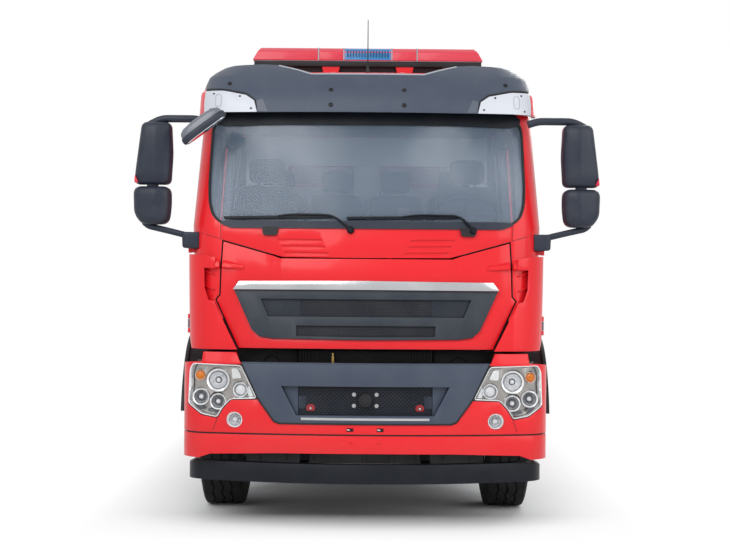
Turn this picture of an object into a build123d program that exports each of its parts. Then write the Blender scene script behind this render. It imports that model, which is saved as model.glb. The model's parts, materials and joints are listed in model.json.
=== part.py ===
from build123d import *
import math
import os

# Airport fire truck, crew cab, two axles. Millimetres; the truck faces -Y, its left side is +X,
# the ground is z = 0 and the origin is under the middle of its length.

# Layout
LENGTH = 8300
FRONT_OVERHANG = 1400
WHEELBASE = 4700
FRONT_Y = -LENGTH / 2
REAR_Y = LENGTH / 2
FRONT_AXLE_Y = FRONT_Y + FRONT_OVERHANG
REAR_AXLE_Y = FRONT_AXLE_Y + WHEELBASE
SEAT_GAP = 0.3

# Wheels and axles
TYRE_RADIUS = 530
TYRE_WIDTH = 312
TREAD_WIDTH = 262
RIM_RADIUS = 286
RIM_WIDTH = 230
FRONT_TRACK = 2000
REAR_TRACK = 1850
TWIN_SPACING = 340
AXLE_Z = TYRE_RADIUS
KINGPIN_X = 870
KINGPIN_RADIUS = 25
FRONT_SPINDLE_RADIUS = 35
REAR_SPINDLE_RADIUS = 45
RUNNING_FIT = 0.05

# Ladder frame
RAIL_X = 430
RAIL_BOTTOM = 740
RAIL_TOP = 1020
RAIL_FLANGE = 75
RAIL_STEEL = 8
RAIL_FRONT = -3900
RAIL_REAR = 3900

# Cab
CAB_BOTTOM = 1171
CAB_FLOOR = 1230
CAB_FLOOR_TOP = 1280
BELT_Z = 1978
EAVES_Z = 2875
ROOF_Z = 3015
CAB_HALF_LOW = 1128
CAB_HALF_BELT = 1155
CAB_HALF_EAVES = 1088
CAB_FRONT_LOW = -4033
CAB_FRONT_BELT = -3975
CAB_FRONT_EAVES = -3800
CAB_REAR = -1050
CAB_BOW = 110
CAB_CORNER = 230
CAB_WALL = 60
SKIN = 25
ROOF_SEAM = 2800
FIREWALL_Y = -3730
FIREWALL_THICK = 30
ARCH_RADIUS = 690
TUNNEL_HALF = 480
TUNNEL_TOP = 1560

# Doors
DOOR_BOTTOM = 1245
DOOR_TOP = 2770
DOOR_GAP = 6
DOOR_GAP_REAR = 12
DOOR_GAP_REAR_TOP = 16
FRONT_DOOR_Y = (-3736, -2690)
REAR_DOOR_Y = (-2570, -1560)
HINGE_X = 1170
HINGE_BARREL = 13

# Windscreen and front hatch, half outlines as (x, z)
SCREEN_HALF = [(0, 1985), (880, 1990), (962, 2000), (1010, 2045), (1034, 2120), (1042, 2230), (1030, 2600),
               (1016, 2668), (0, 2690)]
HATCH_HALF = [(0, 1171), (831, 1171), (985, 1495), (958, 1525), (954, 1702), (943, 1884), (543, 1773),
              (0, 1769)]
HATCH_INSET = 10
HATCH_TOP = 1757
HATCH_LIP_TOP = 1763
HATCH_AXIS = (-3938, 1930)
GRILLE_HALF = [(0, 1238), (600, 1244), (690, 1256), (740, 1300), (858, 1556), (0, 1562)]
GRILLE_UPPER_HALF = [(0, 1387), (635, 1387), (683, 1501), (0, 1501)]
GRILLE_LOWER_HALF = [(0, 1256), (450, 1262), (450, 1330), (0, 1330)]
BRIGHT_BAR_HALF = [(0, 1563), (866, 1561), (825, 1614), (0, 1621)]

# Sun visor: its sides stop ahead of and above the front doors
VISOR_DOOR_Y = -3592
VISOR_DOOR_Z = 2782

# Bumper
BUMPER_HALF = 1190
BUMPER_FRONT = -4142
BUMPER_BOTTOM = 472
BUMPER_TOP = 1092
BUMPER_REAR = -3450
BUMPER_BOW = 150
BUMPER_CORNER = 210
BUMPER_WALL = 40
INSERT_HALF = [(0, 700), (555, 700), (590, 714), (699, 864), (803, 1089), (0, 1089)]
RECESS_HALF = [(0, 757), (442, 757), (540, 945), (0, 945)]
LAMP_OUTLINE = [(699, 864), (803, 1071), (1117, 1080), (1140, 1040), (1149, 821), (1055, 757),
                (956, 739), (922, 799), (867, 857)]
LAMP_OPENING = [(680, 857), (795, 1080)] + LAMP_OUTLINE[2:]
LAMP_REACH = -3840
BUMPER_ARCH_HALF = [(0, 460), (1110, 460), (1000, 500), (560, 514), (0, 516)]
FOG_LAMP = (841, 723)
FOG_RADIUS = 52
FOG_FRONT = -4062
LAMP_BOWLS = [(954, 978, 76), (1070, 870, 53), (954, 846, 53), (1074, 1009, 36), (810, 918, 47)]
CREASE_Z = (628, 640)
TOW_SLOT_X = 97
TOW_SLOT_Z = (656, 680)

# Underrun bar
UNDERRUN_HALF = 1156
UNDERRUN_Z = (322, 446)
UNDERRUN_BOW = 260
UNDERRUN_DEPTH = 70

# Corner vanes
VANE_PROUD = 38
VANE_INNER = 20
VANE_TOP = 1788

# Locker body
BODY_FRONT = -880
BODY_REAR = 3950
BODY_HALF = 1250
BODY_BOTTOM = 1100
BODY_TOP = 3050
BODY_WALL = 50
DECK_Z = 2880
DECK_TOP = 2920
SHUTTER_Z = (1190, 2760)
SHUTTER_BAYS = [(-790, 760), (880, 2560), (2680, 3830)]
SLAT_PITCH = 60
MONITOR_Y = -450
MONITOR_PIVOT_Z = 3380


def outline(points):
    return make_face(Polyline(*points, close=True))


def prism_xz(points, y0, y1):
    face = Plane(origin=(0, y0, 0), x_dir=(1, 0, 0), z_dir=(0, -1, 0)) * outline(points)
    return extrude(face, amount=y1 - y0, dir=(0, 1, 0))


def prism_yz(points, x0, x1):
    face = Plane(origin=(x0, 0, 0), x_dir=(0, 1, 0), z_dir=(1, 0, 0)) * outline(points)
    return extrude(face, amount=x1 - x0, dir=(1, 0, 0))


def block(x0, x1, y0, y1, z0, z1):
    centre = Pos((x0 + x1) / 2, (y0 + y1) / 2, (z0 + z1) / 2)
    return centre * Box(x1 - x0, y1 - y0, z1 - z0)


def rod_x(x0, x1, y, z, radius):
    return Pos((x0 + x1) / 2, y, z) * Rot(0, 90, 0) * Cylinder(radius, x1 - x0)


def rod_y(x, y0, y1, z, radius):
    return Pos(x, (y0 + y1) / 2, z) * Rot(90, 0, 0) * Cylinder(radius, y1 - y0)


def rod_z(x, y, z0, z1, radius):
    return Pos(x, y, (z0 + z1) / 2) * Cylinder(radius, z1 - z0)


def rod_between(start, end, radius):
    along = Vector(*end) - Vector(*start)
    plane = Plane(origin=start, z_dir=along)
    return extrude(plane * Circle(radius), amount=along.length)


def whole(half):
    """Full front outline from the half outline on +X, listed from the bottom centre to the top centre."""
    left = [(-x, z) for x, z in half if x > 0]
    return list(half) + left[::-1]


def swollen(points, margin, y0, y1):
    face = offset(outline(points), margin, kind=Kind.INTERSECTION)
    plane = Plane(origin=(0, y0, 0), x_dir=(1, 0, 0), z_dir=(0, -1, 0))
    return extrude(plane * face, amount=y1 - y0, dir=(0, 1, 0))


def mirrored(shape):
    return mirror(shape, about=Plane.YZ)


def pair(shape):
    return [shape, mirrored(shape)]


def fused(shapes):
    total = shapes[0]
    for shape in shapes[1:]:
        total = total + shape
    return total


def less(shape, tools):
    for tool in tools:
        shape = shape - tool
    return shape


def plan_face(z, half_width, front_y, rear_y, bow, corner):
    """Plan section with a bowed front and rounded front corners."""
    left = (-half_width, front_y + bow)
    right = (half_width, front_y + bow)
    edges = [
        ThreePointArc(left, (0, front_y), right),
        Line(right, (half_width, rear_y)),
        Line((half_width, rear_y), (-half_width, rear_y)),
        Line((-half_width, rear_y), left),
    ]
    face = make_face(edges)
    face = fillet(face.vertices().sort_by(Axis.Y)[:2], corner)
    return Pos(0, 0, z) * face


def cab_form(inset):
    """The cab's outer form moved in by the inset."""
    stations = [
        (CAB_BOTTOM, CAB_HALF_LOW, CAB_FRONT_LOW),
        (BELT_Z, CAB_HALF_BELT, CAB_FRONT_BELT),
        (EAVES_Z, CAB_HALF_EAVES, CAB_FRONT_EAVES),
    ]
    crown = ROOF_Z - EAVES_Z - inset
    corner = CAB_CORNER - inset
    faces = []
    for z, half_width, front_y in stations:
        faces.append(plan_face(z, half_width - inset, front_y + inset, CAB_REAR - inset, CAB_BOW, corner))
    for angle in (30, 60, 90):
        rise = crown * math.sin(math.radians(angle))
        draw_in = inset + crown * (1 - math.cos(math.radians(angle)))
        faces.append(plan_face(EAVES_Z + rise, CAB_HALF_EAVES - draw_in, CAB_FRONT_EAVES + draw_in,
                               CAB_REAR - draw_in, CAB_BOW, corner))
    return loft(faces, ruled=True)


def bumper_form(inset, z0, z1):
    face = plan_face(z0, BUMPER_HALF - inset, BUMPER_FRONT + inset, BUMPER_REAR, BUMPER_BOW,
                     BUMPER_CORNER - inset)
    return extrude(face, amount=z1 - z0, dir=(0, 0, 1))


def bumper_skin(outer, inner, points, margin=0):
    """Piece of the bumper's bowed skin between two insets, inside a front outline."""
    band = bumper_form(outer, 400, 1200) - bumper_form(inner, 400, 1200)
    window = prism_xz(points, FRONT_Y - 100, -3500)
    if margin:
        window = swollen(points, margin, FRONT_Y - 100, -3500)
    return band & window


OUTER = cab_form(0)
INNER = cab_form(CAB_WALL)
SKIN_INNER = cab_form(SKIN)
SHELL = OUTER - INNER


def cab_skin(outer, inner, points):
    """Piece of the cab's front skin between two forms, inside a front outline."""
    return (outer - inner) & prism_xz(points, FRONT_Y - 100, -3500)


def front_axle():
    drop = AXLE_Z - 60
    half = [(0, 370), (640, 370), (780, 475), (KINGPIN_X, 475), (KINGPIN_X, AXLE_Z + 55), (760, AXLE_Z + 55),
            (600, drop), (0, drop)]
    beam = prism_xz(whole(half), FRONT_AXLE_Y - 45, FRONT_AXLE_Y + 45)
    for side in (-1, 1):
        beam = beam + rod_z(side * KINGPIN_X, FRONT_AXLE_Y, AXLE_Z - 60, AXLE_Z + 60, 48)
    for side in (-1, 1):
        beam = beam - rod_z(side * KINGPIN_X, FRONT_AXLE_Y, 300, 700, KINGPIN_RADIUS + RUNNING_FIT)
    return beam


def knuckle():
    """Left steering knuckle: two ears on the kingpin, a web and the wheel's spindle."""
    y0, y1 = FRONT_AXLE_Y - 50, FRONT_AXLE_Y + 50
    upper = block(KINGPIN_X - 50, KINGPIN_X + 68, y0, y1, AXLE_Z + 66, AXLE_Z + 105)
    lower = block(KINGPIN_X - 50, KINGPIN_X + 68, y0, y1, AXLE_Z - 105, AXLE_Z - 66)
    web = block(KINGPIN_X + 54, KINGPIN_X + 68, y0 - 15, y1 + 15, AXLE_Z - 105, AXLE_Z + 105)
    pin = rod_z(KINGPIN_X, FRONT_AXLE_Y, AXLE_Z - 105, AXLE_Z + 105, KINGPIN_RADIUS)
    spindle = rod_x(KINGPIN_X + 60, FRONT_TRACK / 2 + 106, FRONT_AXLE_Y, AXLE_Z, FRONT_SPINDLE_RADIUS)
    return fused([upper, lower, web, pin, spindle])


def tyre_ring():
    bead = RIM_WIDTH / 2
    bulge = TYRE_WIDTH / 2
    tread = TREAD_WIDTH / 2
    bore = RIM_RADIUS + SEAT_GAP
    half = [(bead, bore), (bulge, 395), (tread, TYRE_RADIUS)]
    points = half + [(-x, r) for x, r in half[::-1]]
    return revolve(outline(points), axis=Axis.X)


def ring(x0, x1, r0, r1):
    return revolve(outline([(x0, r0), (x1, r0), (x1, r1), (x0, r1)]), axis=Axis.X)


def hand_holes(x0, x1):
    holes = []
    for index in range(10):
        angle = math.radians(36 * index)
        holes.append(rod_x(x0, x1, 226 * math.cos(angle), 226 * math.sin(angle), 24))
    return holes


def front_rim():
    """Left front wheel disc and hub about the X axis."""
    barrel = ring(-RIM_WIDTH / 2, RIM_WIDTH / 2, RIM_RADIUS - 16, RIM_RADIUS)
    dish = revolve(outline([(-10, 274), (8, 274), (66, 178), (66, 90), (50, 90), (50, 170)]), axis=Axis.X)
    hub = ring(-56, 112, FRONT_SPINDLE_RADIUS + RUNNING_FIT, 92)
    cap = revolve(outline([(112, 0), (126, 0), (122, 80), (112, 92)]), axis=Axis.X)
    return less(fused([barrel, dish, hub, cap]), hand_holes(-40, 90))


def rear_rim():
    """Left twin wheel discs and hub about the X axis, the discs meeting at x = 0."""
    half = TWIN_SPACING / 2
    edge = RIM_WIDTH / 2
    pieces = [ring(-110, 128, REAR_SPINDLE_RADIUS + RUNNING_FIT, 110)]
    pieces.append(revolve(outline([(128, 0), (140, 0), (136, 96), (128, 110)]), axis=Axis.X))
    for side in (-1, 1):
        x0, x1 = sorted((side * (half - edge), side * (half + edge)))
        pieces.append(ring(x0, x1, RIM_RADIUS - 16, RIM_RADIUS))
        dish = [(150, 274), (168, 274), (16, 178), (16, 100), (0, 100), (0, 186)]
        pieces.append(revolve(outline([(side * x, r) for x, r in dish]), axis=Axis.X))
    return less(fused(pieces), hand_holes(-180, 180))


def at_wheel(shape, x, y):
    return Pos(x, y, AXLE_Z) * shape


def rear_axle():
    inner = REAR_TRACK / 2 - 118
    outer = REAR_TRACK / 2 + 122
    tube = rod_x(-inner, inner, REAR_AXLE_Y, AXLE_Z, 85)
    spindles = rod_x(-outer, outer, REAR_AXLE_Y, AXLE_Z, REAR_SPINDLE_RADIUS)
    bowl = Pos(0, REAR_AXLE_Y, AXLE_Z) * Cylinder(215, 190, rotation=(90, 0, 0))
    pads = []
    for side in (-1, 1):
        x = side * 392
        pads.append(block(x - 45, x + 45, REAR_AXLE_Y - 70, REAR_AXLE_Y + 70, AXLE_Z + 40, AXLE_Z + 92))
    nose = rod_y(0, REAR_AXLE_Y - 250, REAR_AXLE_Y, AXLE_Z, 70)
    return fused([tube, spindles, bowl, nose] + pads)


def leaf_spring(axle_y, seat_z, eye_z, reach):
    """Left leaf pack: bowed leaves, a clamp on the axle and two hangers under the rail."""
    thick = 56
    x0, x1 = 352, 428
    rear_y, front_y = axle_y - reach, axle_y + reach
    low = ThreePointArc((rear_y, eye_z - thick), (axle_y, seat_z + 10), (front_y, eye_z - thick))
    high = ThreePointArc((rear_y, eye_z), (axle_y, seat_z + 10 + thick), (front_y, eye_z))
    ends = [Line(low @ 0, high @ 0), Line(low @ 1, high @ 1)]
    face = Plane(origin=(x0, 0, 0), x_dir=(0, 1, 0), z_dir=(1, 0, 0)) * make_face([low, high] + ends)
    leaves = extrude(face, amount=x1 - x0, dir=(1, 0, 0))
    clamp = block(x0 + 4, x1 - 4, axle_y - 60, axle_y + 60, seat_z, seat_z + 50)
    hangers = []
    for end in (-1, 1):
        y = axle_y + end * (reach - 30)
        hangers.append(block(x0 + 8, x1 - 8, y - 32, y + 32, eye_z - 40, RAIL_BOTTOM))
    return fused([leaves, clamp] + hangers)


def chassis_frame():
    parts = []
    web = RAIL_X - RAIL_STEEL
    profile = [(RAIL_X, RAIL_BOTTOM), (RAIL_X, RAIL_TOP), (RAIL_X - RAIL_FLANGE, RAIL_TOP),
               (RAIL_X - RAIL_FLANGE, RAIL_TOP - RAIL_STEEL), (web, RAIL_TOP - RAIL_STEEL),
               (web, RAIL_BOTTOM + RAIL_STEEL), (RAIL_X - RAIL_FLANGE, RAIL_BOTTOM + RAIL_STEEL),
               (RAIL_X - RAIL_FLANGE, RAIL_BOTTOM)]
    parts += pair(prism_xz(profile, RAIL_FRONT, RAIL_REAR))
    for y in (-3820, -1350, 0, 1250, 2650, RAIL_REAR - 60):
        parts.append(block(-web, web, y - 60, y + 60, 890, 1008))
    for y in (-3650, -1180):
        for side in (-1, 1):
            x0, x1 = sorted((side * 360, side * RAIL_X))
            parts.append(block(x0, x1, y - 60, y + 60, RAIL_TOP, CAB_FLOOR))
    return fused(parts)


def engine_block():
    engine = block(-330, 330, -3600, -2350, 640, 1470)
    gearbox = block(-230, 230, -2350, -1600, 670, 1080)
    feet = []
    for y in (-3400, -2600):
        feet.append(block(-422, 422, y - 40, y + 40, RAIL_BOTTOM + RAIL_STEEL, 830))
    return fused([engine, gearbox] + feet)


def propeller_shaft():
    return rod_between((0, -1610, 800), (0, REAR_AXLE_Y - 254.2, AXLE_Z + 20), 52)


def underrun_bar():
    """Bowed bar under the bumper with swept-back ends, hung from the rails."""
    low, top = UNDERRUN_Z
    inner_half = UNDERRUN_HALF - UNDERRUN_DEPTH
    outer = plan_face(low, UNDERRUN_HALF, FRONT_Y, FRONT_Y + 620, UNDERRUN_BOW, 160)
    inner = plan_face(low, inner_half, FRONT_Y + UNDERRUN_DEPTH, FRONT_Y + 700, UNDERRUN_BOW, 120)
    bar = extrude(outer, amount=top - low, dir=(0, 0, 1)) - extrude(inner, amount=top - low, dir=(0, 0, 1))
    bar = bar - block(-1300, 1300, FRONT_Y + 440, FRONT_Y + 800, low - 30, top + 30)
    ends = [(UNDERRUN_HALF, top + 1), (UNDERRUN_HALF, top - 24), (UNDERRUN_HALF - 52, top + 1)]
    for points in (ends, [(-x, z) for x, z in ends]):
        bar = bar - prism_xz(points, FRONT_Y - 50, FRONT_Y + 700)
    hangers = []
    for side in (-1, 1):
        x0, x1 = sorted((side * 365, side * 425))
        hangers.append(block(x0, x1, FRONT_Y + 60, FRONT_Y + 420, 345, 445))
        hangers.append(block(x0, x1, -3880, FRONT_Y + 420, 345, RAIL_BOTTOM))
    return fused([bar] + hangers)


def bumper():
    skin = bumper_form(0, BUMPER_BOTTOM, BUMPER_TOP) - bumper_form(BUMPER_WALL, 400, 1200)
    crease = bumper_form(-1, *CREASE_Z) - bumper_form(7, *CREASE_Z)
    neck = [(810, 1082), (800, 1155), (1050, 1155), (1062, 1082)]
    tools = [prism_xz(whole(INSERT_HALF), FRONT_Y - 100, -3900), crease]
    for points in (LAMP_OPENING, [(-x, z) for x, z in LAMP_OPENING]):
        tools.append(prism_xz(points, FRONT_Y - 100, LAMP_REACH))
    for side in (-1, 1):
        tools.append(rod_y(side * FOG_LAMP[0], FRONT_Y - 100, -3700, FOG_LAMP[1], FOG_RADIUS + SEAT_GAP))
        slot_x = side * TOW_SLOT_X
        tools.append(block(slot_x - 22, slot_x + 22, FRONT_Y - 50, -4112, *TOW_SLOT_Z))
        x0, x1 = sorted((side * 1000, side * 1300))
        tools.append(block(x0, x1, -3800, -3500, 560, 745))
        tools.append(block(x0, x1, -3800, -3500, 860, 1045))
    tools.append(prism_xz(whole(BUMPER_ARCH_HALF), FRONT_Y - 100, -3400))
    skin = less(skin, tools)
    brackets = []
    for side in (-1, 1):
        x0, x1 = sorted((side * RAIL_X, side * (BUMPER_HALF - 28)))
        brackets.append(block(x0, x1, -3490, -3456, 780, 850))
    necks = []
    for points in (neck, [(-x, z) for x, z in neck]):
        necks.append(bumper_skin(12, 70, points))
    return fused([skin] + brackets + necks)


def mesh_holes(x_half, z0, z1, pitch_x, pitch_z, bar, y0, y1):
    """Staggered six-sided holes of a wire mesh."""
    holes = []
    rows = int((z1 - z0) / pitch_z)
    across = pitch_x / 2 - bar / 2
    tall = pitch_z * 0.62
    for row in range(rows):
        z = z0 + (row + 0.5) * (z1 - z0) / rows
        count = int(2 * x_half / pitch_x) - row % 2
        for column in range(count):
            x = (column - (count - 1) / 2) * pitch_x
            points = [(x - across, z), (x - across / 2, z - tall / 2), (x + across / 2, z - tall / 2),
                      (x + across, z), (x + across / 2, z + tall / 2), (x - across / 2, z + tall / 2)]
            holes.append(prism_xz(points, y0, y1))
    return holes


def bumper_insert():
    """Dark panel between the lamps with a sunk mesh field, a towing cover and a bright strip below it."""
    panel = bumper_skin(-6, BUMPER_WALL - 6, whole(INSERT_HALF), -3)
    frame = bumper_skin(0, 75, whole(RECESS_HALF), 12)
    panel = (panel + frame) - bumper_skin(-20, 60, whole(RECESS_HALF))
    panel = panel - mesh_holes(430, 768, 936, 64, 32, 14, -4120, -3950)
    cover = rod_y(0, FRONT_Y + 16, FRONT_Y + 75, 856, 40)
    strip = bumper_skin(-10, 8, [(-405, 731), (405, 731), (412, 743), (-412, 743)])
    arms = []
    for side in (-1, 1):
        x0, x1 = sorted((side * 380, side * RAIL_X))
        arms.append(block(x0, x1, FRONT_Y + 70, RAIL_FRONT, 800, 880))
    return fused([panel, cover, strip] + arms)


def headlamp_pod():
    """Right-hand lamp housing on +X: a dished tray with five lamp bowls."""
    tray = bumper_skin(32, 92, LAMP_OUTLINE, -SEAT_GAP)
    tray = tray & block(0, 1300, FRONT_Y, LAMP_REACH - SEAT_GAP, 600, 1200)
    bowls = []
    for x, z, radius in LAMP_BOWLS:
        bowls.append(rod_y(x, FRONT_Y - 50, -3965 if x < 1000 else -3955, z, radius))
    return less(tray, bowls)


def fog_lamp():
    """Left round lamp seated in the bumper's lower hole."""
    x, z = FOG_LAMP
    cup = rod_y(x, FOG_FRONT, FOG_FRONT + 70, z, FOG_RADIUS)
    return cup - rod_y(x, FOG_FRONT - 1, FOG_FRONT + 40, z, FOG_RADIUS - 7)


def chassis_side_gear():
    """Fuel tank on the left; battery box, air bottles and silencer on the right."""
    tank = block(470, 1120, -1380, -250, 500, 1010)
    tank = tank - block(1000, 1200, -1500, -100, 960, 1100)
    box = block(-1120, -470, -845, -250, 520, 1000)
    straps = block(RAIL_X, 470, -1200, -1120, 760, 1000) + block(RAIL_X, 470, -520, -440, 760, 1000)
    hang = block(-470, -RAIL_X, -700, -400, 760, 1000)
    bottles = rod_y(-620, -1400, -860, 760, 120) + rod_y(-900, -1400, -860, 760, 120)
    shelf = block(-1050, -RAIL_X, -1300, -840, 600, 650)
    return tank + straps, fused([box, hang, bottles, shelf, block(-470, -RAIL_X, -1300, -960, 600, 900)])


def front_mudguard():
    """Left mudguard: a black band over the front wheel with an outer lip."""
    band = ring(860, 1262, 655, 680)
    lip = ring(1236, 1262, 640, 705)
    ground = block(0, 1300, -900, 900, -900, 190)
    guard = Pos(0, FRONT_AXLE_Y, AXLE_Z) * ((band + lip) - ground)
    stay = block(RAIL_X, 905, FRONT_AXLE_Y + 594, FRONT_AXLE_Y + 622, 790, 850)
    return guard + stay


def cab_steps():
    """Left entry steps: two treads in the bumper's side, and a stair box behind the front wheel."""
    treads = []
    for z in (560, 860):
        treads.append(block(1010, 1124, -3790, -3510, z - 24, z))
        treads.append(block(760, 1010, -3700, -3600, z - 24, z))
    riser = block(RAIL_X, 780, -3700, -3600, 780, 836)
    post = block(760, 790, -3700, -3600, 536, 860)
    front = fused(treads + [riser, post])
    stair = prism_xz([(760, 470), (1120, 470), (1120, 500), (1080, 500), (1080, 740), (1120, 740),
                      (1120, 770), (1040, 770), (1040, 1010), (1120, 1010), (1120, 1040), (1020, 1040),
                      (1020, 1165), (960, 1165), (960, 800), (760, 600)], -2030, -1490)
    arm = block(RAIL_X, 990, -1800, -1720, 770, 850)
    return [front, stair + arm]


def cab_cut():
    """Front wheel arch cut through the cab's lower edge."""
    return rod_x(-1400, 1400, FRONT_AXLE_Y, AXLE_Z, ARCH_RADIUS + 20)


def front_area():
    """Front outline of the hatch and the cowl up to the windscreen."""
    lower = [(0, CAB_BOTTOM - 1), (831, CAB_BOTTOM - 1)] + HATCH_HALF[2:6]
    return whole(lower + [(943, BELT_Z), (0, BELT_Z)])


def cowl_area():
    return whole([HATCH_HALF[7], HATCH_HALF[6], HATCH_HALF[5], (943, BELT_Z), (0, BELT_Z)])


def cab_floor():
    room = INNER & block(-1200, 1200, FIREWALL_Y, CAB_REAR - CAB_WALL, CAB_FLOOR, CAB_FLOOR_TOP)
    tunnel = block(-TUNNEL_HALF, TUNNEL_HALF, FIREWALL_Y, -1950, CAB_FLOOR, TUNNEL_TOP)
    hollow = block(-TUNNEL_HALF + 40, TUNNEL_HALF - 40, FIREWALL_Y - 50, -1990, 1100, TUNNEL_TOP - 40)
    return (room + tunnel) - hollow


def door_outline(y0, y1, slant, margin):
    """Door outline in the side view; the gap at its rear edge widens to the top."""
    front = y0 + margin
    rear = y1 - (DOOR_GAP_REAR if margin else 0)
    rear_top = y1 - (DOOR_GAP_REAR_TOP if margin else 0)
    low = DOOR_BOTTOM + margin
    top = DOOR_TOP - margin
    return [(front, low), (rear, low), (rear_top, top), (front + slant, top), (front, BELT_Z)]


def window_outline(y0, y1, slant):
    low = BELT_Z - 20
    top = DOOR_TOP - 110
    return [(y0 + 95, low), (y1 - 110, low), (y1 - 110, top), (y0 + slant + 75, top)]


FRONT_SLANT = 170
REAR_SLANT = 0


def door_hinge_pieces(axis_y, moving):
    """Two barrels with leaves on the hinge line of a left-hand door."""
    pieces = []
    for z in (1330, 1860):
        if moving:
            pieces.append(rod_z(HINGE_X, axis_y, z - 30, z + 30, HINGE_BARREL))
            pieces.append(block(1095, HINGE_X + 6, axis_y + 4, axis_y + 60, z - 28, z + 28))
        else:
            for low in (z - 62, z + 32):
                pieces.append(rod_z(HINGE_X, axis_y, low, low + 30, HINGE_BARREL))
                pieces.append(block(1095, HINGE_X + 6, axis_y - 34, axis_y - 4, low + 2, low + 28))
    return pieces


def cab_side():
    """Left cab side: corner panel, pillars, sill and cant rail around the two door openings."""
    wall = SHELL & block(0, 1300, -4200, CAB_REAR - CAB_WALL, CAB_BOTTOM, ROOF_SEAM)
    tools = [prism_xz(front_area(), FRONT_Y - 100, FIREWALL_Y - FIREWALL_THICK - SEAT_GAP)]
    tools.append(prism_xz(whole(SCREEN_HALF), FRONT_Y - 100, -3300))
    tools.append(block(-1, 930, -4200, -3500, CAB_BOTTOM - 1, ROOF_SEAM + 1))
    tools.append(cab_cut())
    for (y0, y1), slant in ((FRONT_DOOR_Y, FRONT_SLANT), (REAR_DOOR_Y, REAR_SLANT)):
        tools.append(prism_yz(door_outline(y0, y1, slant, 0), 800, 1300))
    quarter = [(-1440, BELT_Z), (-1200, BELT_Z), (-1200, 2660), (-1440, 2660)]
    tools.append(prism_yz(quarter, 800, 1300))
    pieces = [less(wall, tools)]
    for y0, y1 in (FRONT_DOOR_Y, REAR_DOOR_Y):
        pieces += door_hinge_pieces(y0 + 3, False)
    return fused(pieces)


def door(y_span, slant):
    """Left-hand door with its window cut out."""
    panel = SHELL & prism_yz(door_outline(y_span[0], y_span[1], slant, DOOR_GAP), 800, 1300)
    panel = panel - prism_yz(window_outline(y_span[0], y_span[1], slant), 800, 1300)
    return fused([panel] + door_hinge_pieces(y_span[0] + 3, True))


GLASS = cab_form(16) - cab_form(22)


def side_glass(points):
    return GLASS & prism_yz(points, 700, 1300)


def door_glass(y_span, slant):
    points = window_outline(y_span[0], y_span[1], slant)
    face = offset(outline(points), -SEAT_GAP, kind=Kind.INTERSECTION)
    plane = Plane(origin=(700, 0, 0), x_dir=(0, 1, 0), z_dir=(1, 0, 0))
    return GLASS & extrude(plane * face, amount=600, dir=(1, 0, 0))


def cab_front():
    """Cowl under the windscreen, the inner shelf and the wall behind the hatch."""
    cowl = cab_skin(OUTER, SKIN_INNER, cowl_area())
    louvres = []
    for row in range(3):
        z = 1892 - 42 * row
        for side in (-1, 1):
            x = side * (575 - 20 * row)
            points = [(x, z), (x - side * 285, z - 4), (x - side * 292, z - 22), (x - side * 6, z - 18)]
            louvres.append((OUTER - cab_form(9)) & prism_xz(points, FRONT_Y - 100, -3800))
    cowl = less(cowl, louvres)
    front = FIREWALL_Y - FIREWALL_THICK
    wall = cab_form(CAB_WALL + 8) & block(-1200, 1200, front, FIREWALL_Y, CAB_FLOOR, BELT_Z - 6)
    shelf = OUTER & block(-940, 940, -4000, front + 1, BELT_Z - 30, BELT_Z - 6)
    ribs = []
    for x in (-700, 0, 700):
        ribs.append(SKIN_INNER & block(x - 12, x + 12, -3960, front + 1, 1870 if x else 1800, BELT_Z - 20))
    buffers = []
    for side in (-1, 1):
        stop = block(side * 640 - 30, side * 640 + 30, -4100, front + 1, 1200, 1225)
        buffers.append(cab_form(SKIN + SEAT_GAP) & stop)
    lower = block(-700, 700, front, FIREWALL_Y, 1190, CAB_FLOOR)
    return fused([cowl, wall, shelf, lower] + ribs + buffers)


def cab_header():
    """Front header between the windscreen and the roof seam."""
    strip = SHELL & block(-930, 930, -4200, -3500, BELT_Z, ROOF_SEAM)
    return strip - prism_xz(whole(SCREEN_HALF), FRONT_Y - 100, -3300)


def windscreen():
    face = offset(outline(whole(SCREEN_HALF)), -SEAT_GAP, kind=Kind.INTERSECTION)
    plane = Plane(origin=(0, FRONT_Y - 100, 0), x_dir=(1, 0, 0), z_dir=(0, -1, 0))
    return (cab_form(8) - cab_form(15)) & extrude(plane * face, amount=850, dir=(0, 1, 0))


def cab_rear_wall():
    wall = OUTER & block(-1200, 1200, CAB_REAR - CAB_WALL, CAB_REAR, CAB_BOTTOM, ROOF_SEAM)
    for side in (-1, 1):
        wall = wall - block(side * 380 - 270, side * 380 + 270, -1300, -1000, 2080, 2560)
    return wall


def rear_glass():
    panes = []
    for side in (-1, 1):
        x0, x1 = side * 380 - 270 + SEAT_GAP, side * 380 + 270 - SEAT_GAP
        panes.append(block(x0, x1, CAB_REAR - 36, CAB_REAR - 30, 2080 + SEAT_GAP, 2560 - SEAT_GAP))
    return panes


def cab_roof():
    roof = SHELL & block(-1200, 1200, -4200, CAB_REAR + 10, ROOF_SEAM, ROOF_Z + 10)
    return roof


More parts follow.
